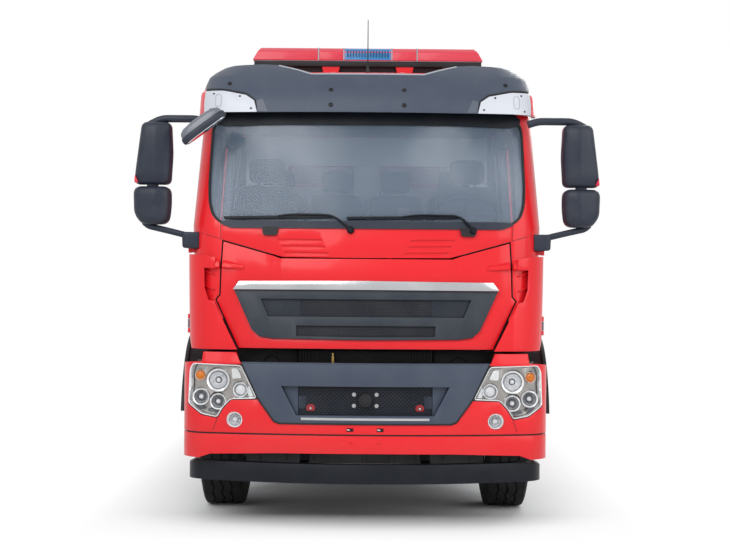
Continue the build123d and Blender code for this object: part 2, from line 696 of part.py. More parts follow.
def hatch():
    """Front hatch: one skin with the grille opening, and two swan-neck arms on the hinge line."""
    plane = Plane(origin=(0, FRONT_Y - 100, 0), x_dir=(1, 0, 0), z_dir=(0, -1, 0))
    face = offset(outline(whole(HATCH_HALF)), -HATCH_INSET, kind=Kind.INTERSECTION)
    panel = (OUTER - SKIN_INNER) & extrude(plane * face, amount=500, dir=(0, 1, 0))
    panel = panel - block(-600, 600, -4200, -3700, HATCH_TOP, 1800)
    lip = (OUTER - cab_form(8)) & block(-560, 560, -4200, -3700, HATCH_TOP - 20, HATCH_LIP_TOP)
    panel = panel + lip
    panel = panel - prism_xz(whole(GRILLE_HALF), -4300, -3800)
    axis_y, axis_z = HATCH_AXIS
    arms = []
    for side in (-1, 1):
        x0, x1 = side * 150 - 14, side * 150 + 14
        path = [(axis_y, axis_z + 12), (axis_y + 164, axis_z + 12), (axis_y + 164, axis_z - 242),
                (axis_y - 10, axis_z - 242), (axis_y - 40, axis_z - 232), (axis_y - 40, axis_z - 218),
                (axis_y + 150, axis_z - 218), (axis_y + 150, axis_z - 12), (axis_y, axis_z - 12)]
        arm = prism_yz(path, x0, x1)
        foot = SKIN_INNER & block(x0, x1, -4000, axis_y, axis_z - 260, axis_z - 205)
        arms += [arm & SKIN_INNER, foot, rod_x(x0 - 10, x1 + 10, axis_y, axis_z, 11)]
    return fused([panel] + arms)


def hatch_grille():
    """Dark grille panel in the hatch with two mesh fields and a bright bar above it."""
    area = whole(GRILLE_HALF)
    face = offset(outline(area), -SEAT_GAP, kind=Kind.INTERSECTION)
    plane = Plane(origin=(0, FRONT_Y - 100, 0), x_dir=(1, 0, 0), z_dir=(0, -1, 0))
    window = extrude(plane * face, amount=500, dir=(0, 1, 0))
    proud = cab_form(-14)
    panel = (proud - cab_form(20)) & window
    upper = prism_xz(whole(GRILLE_UPPER_HALF), -4300, -3800)
    lower = prism_xz(whole(GRILLE_LOWER_HALF), -4300, -3800)
    sunk = cab_form(8)
    panel = panel - ((proud - sunk) & upper) - ((proud - sunk) & lower)
    holes = mesh_holes(600, 1396, 1492, 64, 32, 12, -4300, -3800)
    holes += mesh_holes(440, 1264, 1328, 64, 32, 12, -4300, -3800)
    return panel - holes


def bright_bar():
    return (cab_form(-30) - OUTER) & prism_xz(whole(BRIGHT_BAR_HALF), -4300, -3700)


def corner_deflector():
    """Left corner vane standing off the cab's skin, open at its slot."""
    slot = [(988, 1480), (1026, 1490), (1054, 1570), (1058, 1699), (985, 1697), (985, 1766)]
    brow = [(1060, 1782), (1146, VANE_TOP), (1300, VANE_TOP)]
    points = [(833, CAB_BOTTOM)] + slot + brow + [(1300, CAB_BOTTOM)]
    reach = block(0, 1300, -4300, FRONT_DOOR_Y[0] - 40, CAB_BOTTOM, VANE_TOP)
    vane = (cab_form(-VANE_PROUD) - cab_form(-VANE_INNER)) & prism_xz(points, -4300, -3700) & reach
    fill = (cab_form(-VANE_PROUD + 8) - OUTER) & reach
    top = fill & prism_xz(slot[-2:] + brow + [(1300, 1697)], -4300, -3700)
    foot = fill & prism_xz([(833, CAB_BOTTOM), (985, 1460), (1300, 1460), (1300, 1400), (985, 1400),
                            (860, CAB_BOTTOM)], -4300, -3700)
    tuck = [(1143, CAB_BOTTOM - 10), (1163, 1250), (1174, 1340), (1300, 1340), (1300, CAB_BOTTOM - 10)]
    return fused([vane, top, foot]) - prism_xz(tuck, -4300, -3700)


def visor_form(inset):
    stations = [(2718, 1116, -3935), (2860, 1112, -3880), (2985, 1085, -3770), (3080, 1000, -3640)]
    faces = []
    for z, half_width, front_y in stations:
        faces.append(plan_face(z, half_width - inset, front_y + inset, -3300, CAB_BOW + 10,
                               CAB_CORNER + 20 - inset))
    return loft(faces, ruled=True)


def sun_visor():
    """Dark visor around the roof's front edge, notched in the middle, on side pads."""
    half = [(0, 2722), (1200, 2722), (1200, 2860), (1104, 2880), (1092, 2930), (1066, 2990), (1030, 3022),
            (962, 3056), (900, 3068), (700, 3074), (600, 3066), (470, 3030), (370, 2996), (0, 2992)]
    skin = (visor_form(0) - visor_form(14)) & prism_xz(whole(half), -4300, -3480)
    skin = skin - block(-1300, 1300, VISOR_DOOR_Y, -3400, 2700, VISOR_DOOR_Z)
    pads = []
    for side in (-1, 1):
        x0, x1 = sorted((side * 900, side * 1200))
        pads.append((visor_form(5) - OUTER) & block(x0, x1, -3580, -3500, VISOR_DOOR_Z + 4, 2860))
    for x in (-620, 0, 620):
        pads.append((visor_form(5) - OUTER) & block(x - 25, x + 25, -4000, -3600, 2830, 2860))
    return fused([skin] + pads)


def corner_lamp_plate():
    """Left white plate on the visor's lower corner."""
    points = [(724, 2722), (745, 2800), (800, 2838), (950, 2870), (1140, 2880), (1140, 2722)]
    reach = block(0, 1300, -4300, -3600, 2700, 2900)
    return (visor_form(-12) - visor_form(-SEAT_GAP)) & prism_xz(points, -4300, -3500) & reach


def light_bar():
    """Base, red lenses and blue lens of the warning bar."""
    y0, y1 = -3290, -3010
    base = block(-788, 788, y0 + 10, y1 - 10, 3104, 3144)
    for side in (-1, 1):
        base = base + block(side * 256 - 40, side * 256 + 40, y0 + 60, y1 - 60, ROOF_Z, 3104)
    base = base + block(-520, 520, y0 + 40, y1 - 40, 3040, 3104)
    profile = [(y0, 3144), (y0 + 8, 3206), (y0 + 50, 3236), (y1 - 50, 3236), (y1 - 8, 3206), (y1, 3144)]
    lens = prism_yz(profile, -798, 798)
    for side in (-1, 1):
        slope = [(side * 800, 3140), (side * 800, 3260), (side * 722, 3260), (side * 760, 3216),
                 (side * 793, 3154)]
        lens = lens - prism_xz(slope, y0 - 10, y1 + 10)
    middle = lens & block(-165, 165, y0 - 10, y1 + 10, 3100, 3300)
    reds = []
    for side in (-1, 1):
        x0, x1 = sorted((side * 168, side * 340))
        reds.append(lens & block(x0, x1, y0 - 10, y1 + 10, 3100, 3300))
        x0, x1 = sorted((side * 344, side * 810))
        reds.append(lens & block(x0, x1, y0 - 10, y1 + 10, 3100, 3300))
    return base, reds, middle


def antenna():
    base = Pos(0, -3640, ROOF_Z) * Cone(16, 7, 45, align=(Align.CENTER, Align.CENTER, Align.MIN))
    whip = Pos(0, -3640, ROOF_Z + 40) * Cone(4, 2.5, 315, align=(Align.CENTER, Align.CENTER, Align.MIN))
    return base + whip


def mirror_head(x0, x1, z0, z1, y_front, y_back, lean=0):
    """Faceted shell, fuller in the middle, flat at the back; its outer side leans in towards the top."""
    faces = []
    for z, shrink in ((z0, 34), (z0 + 40, 0), (z1 - 60, 0), (z1, 40)):
        outer = x1 - lean * (z - z0) / (z1 - z0)
        middle = x0 + 0.45 * (outer - x0)
        points = [(x0 + shrink * 0.6, y_back), (outer - shrink * 0.6, y_back),
                  (outer - shrink * 0.4, y_front + 70 + shrink), (middle, y_front + shrink),
                  (x0 + shrink * 0.4, y_front + 60 + shrink)]
        faces.append(Pos(0, 0, z) * outline(points))
    return loft(faces, ruled=True)


def side_mirror():
    """Left mirror: upper and lower heads on two arms from the corner pillar."""
    y_front, y_back = -3885, -3735
    upper = mirror_head(1288, 1534, 2246, 2658, y_front, y_back, 48)
    lower = mirror_head(1294, 1542, 1992, 2234, y_front, y_back)
    link = block(1380, 1450, -3830, -3760, 2218, 2262)
    top_arm = prism_xz([(1030, 2668), (1075, 2702), (1240, 2706), (1345, 2706), (1480, 2662), (1480, 2616),
                        (1400, 2616), (1330, 2660), (1120, 2660), (1060, 2620)], -3815, -3775)
    low_arm = prism_xz([(1400, 2016), (1490, 2010), (1490, 1978), (1400, 1944), (1226, 1922), (1216, 1822),
                        (1096, 1822), (1096, 1934), (1180, 1950), (1360, 1980)], -3825, -3770)
    return fused([upper, lower, link, top_arm, low_arm]) - OUTER


def mirror_glasses():
    plates = []
    for side in (-1, 1):
        for z0, z1 in ((2290, 2590), (2034, 2174)):
            x0, x1 = sorted((side * 1322, side * 1478))
            plates.append(block(x0, x1, -3735, -3731, z0, z1))
    return plates


def kerb_mirror():
    """Look-down mirror on the right front corner, carried on a bent arm."""
    head = Pos(-1072, -4030, 2626) * Rot(0, -37, 0) * mirror_head(-168, 168, -52, 52, -60, 60)
    arm = rod_between((-1080, -4000, 2640), (-1040, -3780, 2690), 14)
    foot = rod_between((-1040, -3780, 2690), (-990, -3740, 2680), 14)
    return fused([head, arm, foot]) - OUTER


def wipers():
    """Two arms with blades parked low on the windscreen."""
    layer = cab_form(-26) - cab_form(-2)
    foot_layer = cab_form(-26) - OUTER
    pieces = []
    for tip, shoulder, pivot in ((-935, -235, -110), (-130, 597, 672)):
        blade = [(tip, 2018), (shoulder - 20, 2030), (shoulder - 20, 2052), (tip, 2036)]
        arm = [(tip + 300, 2040), (shoulder, 2060), (pivot - 16, 1950), (pivot + 16, 1950),
               (shoulder + 24, 2082), (tip + 300, 2060)]
        foot = [(pivot - 24, 1930), (pivot + 24, 1930), (pivot + 24, 1966), (pivot - 24, 1966)]
        pieces.append(fused([layer & prism_xz(blade, -4200, -3700), layer & prism_xz(arm, -4200, -3700),
                             foot_layer & prism_xz(foot, -4200, -3700)]))
    return pieces


def dashboard():
    profile = [(FIREWALL_Y, 1610), (FIREWALL_Y, 1968), (-3560, 1968), (-3440, 1925), (-3340, 1870),
               (-3330, 1800), (-3420, 1700), (-3440, 1610)]
    return prism_yz(profile, -1030, 1030) - steering_column(30 + SEAT_GAP)


STEERING_PLANE = Plane(origin=(690, -3260, 2080), x_dir=(1, 0, 0), z_dir=(0, 0.5, 0.866))


def steering_column(radius):
    return STEERING_PLANE.location * (Pos(0, 0, -180) * Cylinder(radius, 300))


def steering_wheel():
    """Rim, hub and column, leaning towards the driver at the left seat."""
    rim_section = outline([(-14, 222), (0, 236), (14, 222), (0, 208)])
    rim = Rot(0, -90, 0) * revolve(rim_section, axis=Axis.X)
    hub = Pos(0, 0, -18) * Cylinder(60, 36)
    spokes = Box(430, 44, 14) + Pos(0, -110, 0) * Box(44, 216, 14)
    return STEERING_PLANE.location * fused([rim, hub, spokes]) + steering_column(30)


def seat_profile(y, floor):
    return [(y, floor), (y, floor + 330), (y - 40, floor + 360), (y - 30, floor + 470),
            (y + 420, floor + 440), (y + 520, floor + 1060), (y + 600, floor + 1060), (y + 560, floor + 400),
            (y + 500, floor + 330), (y + 500, floor)]


def seats():
    pieces = []
    for side in (-1, 1):
        x = side * 745
        base = prism_yz(seat_profile(-3060, CAB_FLOOR_TOP), x - 235, x + 235)
        rest = prism_yz([(-2545, 2330), (-2520, 2520), (-2440, 2520), (-2465, 2330)], x - 130, x + 130)
        pieces.append(base + rest)
    bench = prism_yz(seat_profile(-1720, CAB_FLOOR_TOP), -960, 960)
    for x in (-720, -240, 240, 720):
        rest = [(-1205, 2330), (-1190, 2500), (-1124, 2500), (-1124, 2330)]
        bench = bench + prism_yz(rest, x - 125, x + 125)
    pieces.append(bench)
    return pieces


def body_side():
    """Left body wall with three shutter openings and the rear wheel arch below the floor line."""
    wall = block(BODY_HALF - BODY_WALL, BODY_HALF, BODY_FRONT, BODY_REAR - BODY_WALL, BODY_BOTTOM, BODY_TOP)
    skirt = block(BODY_HALF - 36, BODY_HALF, 1232, 2668, 640, BODY_BOTTOM)
    skirt = skirt - rod_x(1000, 1400, REAR_AXLE_Y, AXLE_Z, 610)
    for y0, y1 in SHUTTER_BAYS:
        wall = wall - block(1100, 1300, y0, y1, SHUTTER_Z[0], SHUTTER_Z[1])
    return wall + skirt


def slat_profile(outer, inner, z0, z1):
    """Zig-zag of a roller shutter's slats, as (depth, z)."""
    count = round((z1 - z0) / SLAT_PITCH)
    pitch = (z1 - z0) / count
    points = [(inner, z0)]
    for row in range(count):
        z = z0 + row * pitch
        points += [(outer - 7, z), (outer, z + 8), (outer, z + pitch - 8), (outer - 7, z + pitch)]
    points.append((inner, z1))
    return [p for i, p in enumerate(points) if i == 0 or p != points[i - 1]]


def side_shutters():
    panels = []
    for y0, y1 in SHUTTER_BAYS:
        z0, z1 = SHUTTER_Z[0] + SEAT_GAP, SHUTTER_Z[1] - SEAT_GAP
        profile = slat_profile(BODY_HALF - 14, BODY_HALF - 34, z0, z1)
        panels.append(prism_xz(profile, y0 + SEAT_GAP, y1 - SEAT_GAP))
    return panels


def body_ends():
    """Front wall and rear wall with its shutter opening."""
    inner = BODY_HALF - BODY_WALL
    front = block(-inner, inner, BODY_FRONT, BODY_FRONT + BODY_WALL, BODY_BOTTOM, BODY_TOP)
    rear = block(-BODY_HALF, BODY_HALF, BODY_REAR - BODY_WALL, BODY_REAR, BODY_BOTTOM, BODY_TOP)
    rear = rear - block(-700, 700, BODY_REAR - 100, BODY_REAR + 50, SHUTTER_Z[0], SHUTTER_Z[1])
    return [front, rear]


def rear_shutter():
    profile = slat_profile(BODY_REAR - 14, BODY_REAR - 34, SHUTTER_Z[0] + SEAT_GAP, SHUTTER_Z[1] - SEAT_GAP)
    return prism_yz(profile, -700 + SEAT_GAP, 700 - SEAT_GAP)


def body_floor():
    inner = BODY_HALF - BODY_WALL
    plate = block(-inner, inner, BODY_FRONT + BODY_WALL, BODY_REAR - BODY_WALL, BODY_BOTTOM, BODY_BOTTOM + 40)
    sills = []
    for side in (-1, 1):
        x0, x1 = sorted((side * 350, side * RAIL_X))
        sills.append(block(x0, x1, BODY_FRONT + BODY_WALL, RAIL_REAR - 20, RAIL_TOP, BODY_BOTTOM))
    return fused([plate] + sills)


def body_roof():
    inner = BODY_HALF - BODY_WALL
    return block(-inner, inner, BODY_FRONT + BODY_WALL, BODY_REAR - BODY_WALL, DECK_Z, DECK_TOP)


def lower_lockers():
    """Left lockers under the body floor, ahead of and behind the rear wheels."""
    pieces = []
    for y0, y1 in ((-130, 1225), (2675, BODY_REAR - BODY_WALL)):
        locker = block(560, BODY_HALF - 6, y0, y1, 560, BODY_BOTTOM)
        lid = block(BODY_HALF - 12, BODY_HALF, y0 + 40, y1 - 40, 590, BODY_BOTTOM - 30)
        stay = block(RAIL_X, 560, y0 + 300, y0 + 400, 780, 960)
        pieces.append(fused([locker, lid, stay]))
    return pieces


def roof_gear():
    """Roof ladder on two cross racks, and the hand rails along both coamings."""
    pieces = []
    rack = []
    for y in (700, 3000):
        rack.append(block(420, 1020, y - 25, y + 25, DECK_TOP, DECK_TOP + 60))
    for x in (470, 930):
        rack.append(block(x, x + 40, 300, 3700, DECK_TOP + 60, DECK_TOP + 130))
    for index in range(11):
        y = 450 + 310 * index
        rack.append(rod_x(500, 940, y, DECK_TOP + 95, 16))
    pieces.append(fused(rack))
    for side in (-1, 1):
        x = side * (BODY_HALF - 25)
        rail = [rod_y(x, 150, 3800, BODY_TOP + 110, 17)]
        for y in (200, 1380, 2560, 3740):
            rail.append(rod_z(x, y, BODY_TOP, BODY_TOP + 110, 14))
        pieces.append(fused(rail))
    return pieces


def rear_ladder():
    """Ladder to the roof on the rear wall."""
    parts = []
    for x in (800, 1130):
        parts.append(rod_z(x, BODY_REAR + 75, 720, BODY_TOP + 110, 17))
        for z in (1150, 2000, 2900):
            parts.append(rod_y(x, BODY_REAR, BODY_REAR + 75, z, 12))
    for index in range(8):
        parts.append(rod_x(800, 1130, BODY_REAR + 75, 800 + 290 * index, 13))
    return fused(parts)


def rear_bumper():
    """Rear lower panel with the towing gap, and the step below it."""
    panel = block(-1240, 1240, BODY_REAR - BODY_WALL, BODY_REAR - 20, 560, BODY_BOTTOM)
    panel = panel - block(-110, 110, 3800, 4000, 760, 960)
    step = block(-1240, 1240, BODY_REAR - BODY_WALL, REAR_Y, 520, 580)
    return panel + step


def rear_lamps():
    lamps = []
    for side in (-1, 1):
        x0, x1 = sorted((side * 760, side * 1200))
        lamps.append(block(x0, x1, BODY_REAR - 20, BODY_REAR + 25, 820, 940))
    return lamps


def hose_inlets():
    """Two hydrant inlets below the rear shutter, open tubes with coupling collars."""
    tubes = []
    for side in (-1, 1):
        outer = rod_y(side * 450, BODY_REAR - 20, BODY_REAR + 110, 700, 48)
        collar = rod_y(side * 450, BODY_REAR + 60, BODY_REAR + 110, 700, 62)
        bore = rod_y(side * 450, BODY_REAR + 10, BODY_REAR + 130, 700, 38)
        tubes.append((outer + collar) - bore)
    return tubes


def tow_jaw():
    jaw = block(-70, 70, RAIL_REAR, RAIL_REAR + 180, 800, 930)
    slot = block(-80, 80, RAIL_REAR + 60, RAIL_REAR + 200, 835, 895)
    return (jaw - slot) - rod_z(0, RAIL_REAR + 120, 700, 1000, 21)


def flood_lamps():
    """Work lamps along the upper body rail, left side."""
    lamps = []
    for y0, y1 in SHUTTER_BAYS:
        y = (y0 + y1) / 2
        lamps.append(block(BODY_HALF, BODY_HALF + 14, y - 130, y + 130, 2815, 2885))
    return lamps


def monitor_base():
    plate = rod_z(0, MONITOR_Y, DECK_TOP, DECK_TOP + 40, 150)
    riser = rod_z(0, MONITOR_Y, DECK_TOP + 40, MONITOR_PIVOT_Z - 150, 58)
    return plate + riser


def monitor_turret():
    """Turning elbow with two cheeks carrying the barrel's cross pin."""
    z = MONITOR_PIVOT_Z
    drum = rod_z(0, MONITOR_Y, z - 149.7, z - 90, 80)
    cheeks = []
    for side in (-1, 1):
        x0, x1 = sorted((side * 62, side * 80))
        cheeks.append(block(x0, x1, MONITOR_Y - 45, MONITOR_Y + 45, z - 100, z + 45))
    body = fused([drum] + cheeks)
    return body - rod_x(-200, 200, MONITOR_Y, z, 20 + RUNNING_FIT)


def monitor_barrel():
    """Water barrel with its nozzle, cross pin and rear lever."""
    z = MONITOR_PIVOT_Z
    tube = rod_y(0, MONITOR_Y - 820, MONITOR_Y + 70, z, 44)
    nozzle = rod_y(0, MONITOR_Y - 1000, MONITOR_Y - 800, z, 62)
    pin = rod_x(-90, 90, MONITOR_Y, z, 20)
    bore = rod_y(0, MONITOR_Y - 1010, MONITOR_Y - 840, z, 40)
    return fused([tube, nozzle, pin]) - bore


def solids_of(item):
    if isinstance(item, (list, tuple)):
        found = []
        for one in item:
            found += solids_of(one)
        return found
    return list(item.solids())


def build_parts():
    parts = {}
    parts["chassis_frame"] = chassis_frame()
    parts["driveline"] = engine_block() + propeller_shaft()
    parts["front_axle"] = front_axle()
    parts["rear_axle"] = rear_axle()
    front_spring = leaf_spring(FRONT_AXLE_Y, AXLE_Z - 60, RAIL_BOTTOM - 20, 760)
    rear_spring = leaf_spring(REAR_AXLE_Y, AXLE_Z + 92, RAIL_BOTTOM - 10, 800)
    parts["leaf_springs"] = pair(front_spring) + pair(rear_spring)
    tank, box = chassis_side_gear()
    parts["frame_side_gear"] = [tank, box]
    parts["underrun_bar"] = underrun_bar()
    parts["bumper"] = bumper()
    parts["bumper_insert"] = bumper_insert()
    parts["headlamps"] = pair(headlamp_pod()) + pair(fog_lamp())
    parts["front_mudguards"] = pair(front_mudguard())
    steps = cab_steps()
    parts["cab_steps"] = pair(steps[0]) + pair(steps[1])
    parts["cab_floor"] = cab_floor()
    parts["cab_sides"] = pair(cab_side())
    parts["cab_front"] = [cab_front(), cab_header()]
    parts["cab_rear_wall"] = cab_rear_wall()
    parts["cab_roof"] = cab_roof()
    quarter = [(-1440 + SEAT_GAP, BELT_Z + SEAT_GAP), (-1200 - SEAT_GAP, BELT_Z + SEAT_GAP),
               (-1200 - SEAT_GAP, 2660 - SEAT_GAP), (-1440 + SEAT_GAP, 2660 - SEAT_GAP)]
    parts["cab_glass"] = [windscreen()] + pair(side_glass(quarter)) + rear_glass()
    parts["corner_deflectors"] = pair(corner_deflector())
    parts["sun_visor"] = [sun_visor()] + pair(corner_lamp_plate())
    base, reds, middle = light_bar()
    parts["light_bar_base"] = [base, antenna()]
    parts["light_bar_lenses"] = reds + [middle]
    parts["side_mirrors"] = pair(side_mirror()) + [kerb_mirror()]
    parts["mirror_glasses"] = mirror_glasses()
    parts["wipers"] = wipers()
    parts["dashboard"] = dashboard()
    parts["steering_wheel"] = steering_wheel()
    parts["seats"] = seats()
    front_door = door(FRONT_DOOR_Y, FRONT_SLANT)
    rear_door = door(REAR_DOOR_Y, REAR_SLANT)
    front_pane = door_glass(FRONT_DOOR_Y, FRONT_SLANT)
    rear_pane = door_glass(REAR_DOOR_Y, REAR_SLANT)
    parts["door_front_left"] = front_door
    parts["door_front_right"] = mirrored(front_door)
    parts["door_rear_left"] = rear_door
    parts["door_rear_right"] = mirrored(rear_door)
    parts["glass_front_left"] = front_pane
    parts["glass_front_right"] = mirrored(front_pane)
    parts["glass_rear_left"] = rear_pane
    parts["glass_rear_right"] = mirrored(rear_pane)
    parts["front_hatch"] = hatch()
    parts["hatch_grille"] = [hatch_grille(), bright_bar()]
    parts["body_sides"] = pair(body_side()) + body_ends()
    parts["body_decks"] = [body_floor(), body_roof()]
    shutters = side_shutters()
    for panel in side_shutters():
        shutters.append(mirrored(panel))
    parts["shutters"] = shutters + [rear_shutter()]
    lockers = lower_lockers()
    parts["lower_lockers"] = lockers + [mirrored(one) for one in lockers]
    parts["roof_gear"] = roof_gear() + [rear_ladder(), monitor_base()]
    parts["rear_bumper"] = rear_bumper()
    lamps = flood_lamps()
    parts["body_lamps"] = lamps + [mirrored(one) for one in lamps] + rear_lamps()
    parts["rear_couplings"] = hose_inlets() + [tow_jaw()]
    parts["monitor_turret"] = monitor_turret()
    parts["monitor_barrel"] = monitor_barrel()
    left_front = at_wheel(tyre_ring(), FRONT_TRACK / 2, FRONT_AXLE_Y)
    left_rim = at_wheel(front_rim(), FRONT_TRACK / 2, FRONT_AXLE_Y)
    parts["tyre_front_left"] = left_front
    parts["tyre_front_right"] = mirrored(left_front)
    parts["rim_front_left"] = left_rim
    parts["rim_front_right"] = mirrored(left_rim)
    twins = []
    for side in (-1, 1):
        twins.append(at_wheel(tyre_ring(), REAR_TRACK / 2 + side * TWIN_SPACING / 2, REAR_AXLE_Y))
    twin_rim = at_wheel(rear_rim(), REAR_TRACK / 2, REAR_AXLE_Y)
    parts["tyres_rear_left"] = twins
    parts["tyres_rear_right"] = [mirrored(one) for one in twins]
    parts["rim_rear_left"] = twin_rim
    parts["rim_rear_right"] = mirrored(twin_rim)
    parts["knuckle_left"] = knuckle()
    parts["knuckle_right"] = mirrored(knuckle())
    return parts


os.makedirs("parts", exist_ok=True)
for name, item in build_parts().items():
    solids = solids_of(item)
    shape = solids[0] if len(solids) == 1 else Compound(solids)
    export_step(shape, f"parts/{name}.step")
    print(name, len(solids))
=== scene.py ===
"""Airport fire truck: finishes, lamps, trim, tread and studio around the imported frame, in metres."""
import json
import math
from contextlib import contextmanager

import bmesh
import bpy
from mathutils import Matrix, Vector
from mathutils.geometry import delaunay_2d_cdt


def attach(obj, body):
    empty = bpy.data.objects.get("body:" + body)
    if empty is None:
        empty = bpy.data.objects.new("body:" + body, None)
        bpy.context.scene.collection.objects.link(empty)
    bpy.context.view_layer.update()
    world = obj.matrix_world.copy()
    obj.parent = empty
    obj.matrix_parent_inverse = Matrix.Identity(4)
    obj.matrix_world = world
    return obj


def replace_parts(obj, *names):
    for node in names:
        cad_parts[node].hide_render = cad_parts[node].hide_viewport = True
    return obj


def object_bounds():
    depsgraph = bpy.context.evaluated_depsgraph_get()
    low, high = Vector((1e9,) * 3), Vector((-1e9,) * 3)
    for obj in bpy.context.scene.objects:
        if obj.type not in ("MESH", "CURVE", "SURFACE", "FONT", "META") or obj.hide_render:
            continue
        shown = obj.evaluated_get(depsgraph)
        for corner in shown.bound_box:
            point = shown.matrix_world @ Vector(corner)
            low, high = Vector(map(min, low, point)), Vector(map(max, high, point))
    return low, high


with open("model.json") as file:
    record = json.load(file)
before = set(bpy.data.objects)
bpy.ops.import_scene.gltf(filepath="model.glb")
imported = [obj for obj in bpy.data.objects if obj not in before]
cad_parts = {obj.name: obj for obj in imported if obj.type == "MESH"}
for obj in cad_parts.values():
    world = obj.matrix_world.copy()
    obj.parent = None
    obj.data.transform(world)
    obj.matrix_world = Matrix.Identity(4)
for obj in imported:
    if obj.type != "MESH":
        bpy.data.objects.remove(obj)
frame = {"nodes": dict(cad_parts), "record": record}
CAD_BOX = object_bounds()
NODES = frame["nodes"]
BODY_OF = {node: body for body, nodes in frame["record"]["behaviour"]["bodies"].items() for node in nodes}

# Camera, from the photo's perspective: level, straight at the truck's front, with a trace of roll.
CAMERA_BACK = 10.0
CAMERA_HEIGHT = 1.666
CAMERA_SIDE = -0.008
CAMERA_LENS = 77.3
CAMERA_ROLL = -0.45
SIDES = {1: "left", -1: "right"}


# Shader maths

class Value:
    """A number or colour on its way through a tree's nodes."""

    def __init__(self, nodes, socket):
        self.nodes = nodes
        self.socket = socket

    def math(self, operation, first, second):
        return self.nodes.node("ShaderNodeMath", {"operation": operation}, {0: first, 1: second})

    def __add__(self, other):
        return self.math("ADD", self, other)

    def __sub__(self, other):
        return self.math("SUBTRACT", self, other)

    def __rsub__(self, other):
        return self.math("SUBTRACT", other, self)

    def __mul__(self, other):
        return self.math("MULTIPLY", self, other)

    __radd__ = __add__
    __rmul__ = __mul__

    def between(self, low, high):
        """0 at low, 1 at high, held at both ends."""
        ends = {0: self, 1: low, 2: high, 3: 0.0, 4: 1.0}
        return self.nodes.node("ShaderNodeMapRange", {"clamp": True}, ends)


class Nodes:
    """Node tree of a finish or of the sky."""

    def __init__(self, tree):
        self.tree = tree

    def join(self, socket, value):
        if isinstance(value, Value):
            self.tree.links.new(value.socket, socket)
        else:
            socket.default_value = value

    def node(self, kind, settings, inputs, output=0):
        made = self.tree.nodes.new(kind)
        for name, value in settings.items():
            setattr(made, name, value)
        for key, value in inputs.items():
            self.join(made.inputs[key], value)
        return Value(self, made.outputs[output])

    def seen(self):
        """1 for what the camera sees, also by way of metal or glass, and 0 for the light on the truck."""
        direct = self.node("ShaderNodeLightPath", {}, {}, "Is Camera Ray")
        rays = direct.socket.node.outputs
        total = direct + Value(self, rays["Is Glossy Ray"]) + Value(self, rays["Is Transmission Ray"])
        return total.between(0.0, 1.0)


class Finish(Nodes):
    """One material with a Principled surface."""

    def __init__(self, name, colour, roughness, metallic=0.0, **settings):
        self.material = bpy.data.materials.new(name)
        self.material.use_nodes = True
        super().__init__(self.material.node_tree)
        self.surface = self.tree.nodes["Principled BSDF"]
        self.feed("Base Color", (*colour, 1.0))
        self.feed("Roughness", roughness)
        self.feed("Metallic", metallic)
        for socket, value in settings.items():
            self.feed(socket.replace("_", " "), value)

    def feed(self, socket, value):
        self.join(self.surface.inputs[socket], value)

    def place(self):
        return self.node("ShaderNodeTexCoord", {}, {}, "Object")

    def along(self, axis):
        return self.node("ShaderNodeSeparateXYZ", {}, {0: self.place()}, axis)

    def noise(self, scale, detail=3.0, stretch=None):
        place = self.place()
        if stretch:
            place = self.node("ShaderNodeVectorMath", {"operation": "MULTIPLY"}, {0: place, 1: stretch})
        return self.node("ShaderNodeTexNoise", {}, {"Vector": place, "Scale": scale, "Detail": detail})

    def mix(self, share, first, second):
        first, second = (c if isinstance(c, Value) else (*c, 1.0) for c in (first, second))
        return self.node("ShaderNodeMix", {"data_type": "RGBA"}, {0: share, 6: first, 7: second}, 2)

    def bump(self, height, strength, depth):
        sockets = {"Strength": strength, "Distance": depth, "Height": height}
        self.feed("Normal", self.node("ShaderNodeBump", {}, sockets))


def shade(colour, factor):
    return tuple(c * factor for c in colour)


def red_paint():
    """Gloss paint with slow tone changes and a thin road film low down."""
    finish = Finish("red_paint", (0.68, 0.012, 0.018), 0.3, Coat_Weight=0.15, Coat_Roughness=0.06,
                    Specular_IOR_Level=0.25)
    tone = finish.mix(finish.noise(0.9, 2.0).between(0.3, 0.7), (0.66, 0.010, 0.016), (0.71, 0.014, 0.020))
    film = finish.noise(3.0, 3.0).between(0.35, 0.8) * (1 - finish.along("Z").between(0.45, 1.0)) * 0.12
    finish.feed("Base Color", finish.mix(film, tone, (0.34, 0.16, 0.13)))
    finish.feed("Roughness", finish.noise(12.0) * 0.05 + film * 0.4 + 0.26)
    finish.bump(finish.noise(420.0, 1.0), 0.03, 0.0002)
    return finish.material


def moulded(name, colour, roughness, grain=900.0, dust=0.10, shine=0.35):
    """Moulded plastic or thick paint with a fine grain and a little pale dust."""
    finish = Finish(name, colour, roughness, Specular_IOR_Level=shine)
    veil = finish.noise(6.0, 5.0).between(0.4, 0.85) * dust
    finish.feed("Base Color", finish.mix(veil, colour, tuple(0.6 * c + 0.16 for c in colour)))
    finish.feed("Roughness", finish.noise(26.0) * 0.14 + (roughness - 0.07))
    finish.bump(finish.noise(grain, 2.0), 0.2, 0.0006)
    return finish.material


def metal(name, colour, roughness, stretch=(1.0, 1.0, 1.0), metallic=1.0):
    """Metal with fine drawn streaks along one direction and slight smears."""
    finish = Finish(name, colour, roughness, metallic)
    streaks = finish.noise(60.0, 4.0, stretch)
    smear = finish.noise(4.0)
    finish.feed("Base Color", finish.mix(smear.between(0.3, 0.75), shade(colour, 0.84), colour))
    finish.feed("Roughness", streaks * 0.14 + smear * 0.08 + (roughness - 0.1))
    finish.bump(streaks, 0.06, 0.0004)
    return finish.material


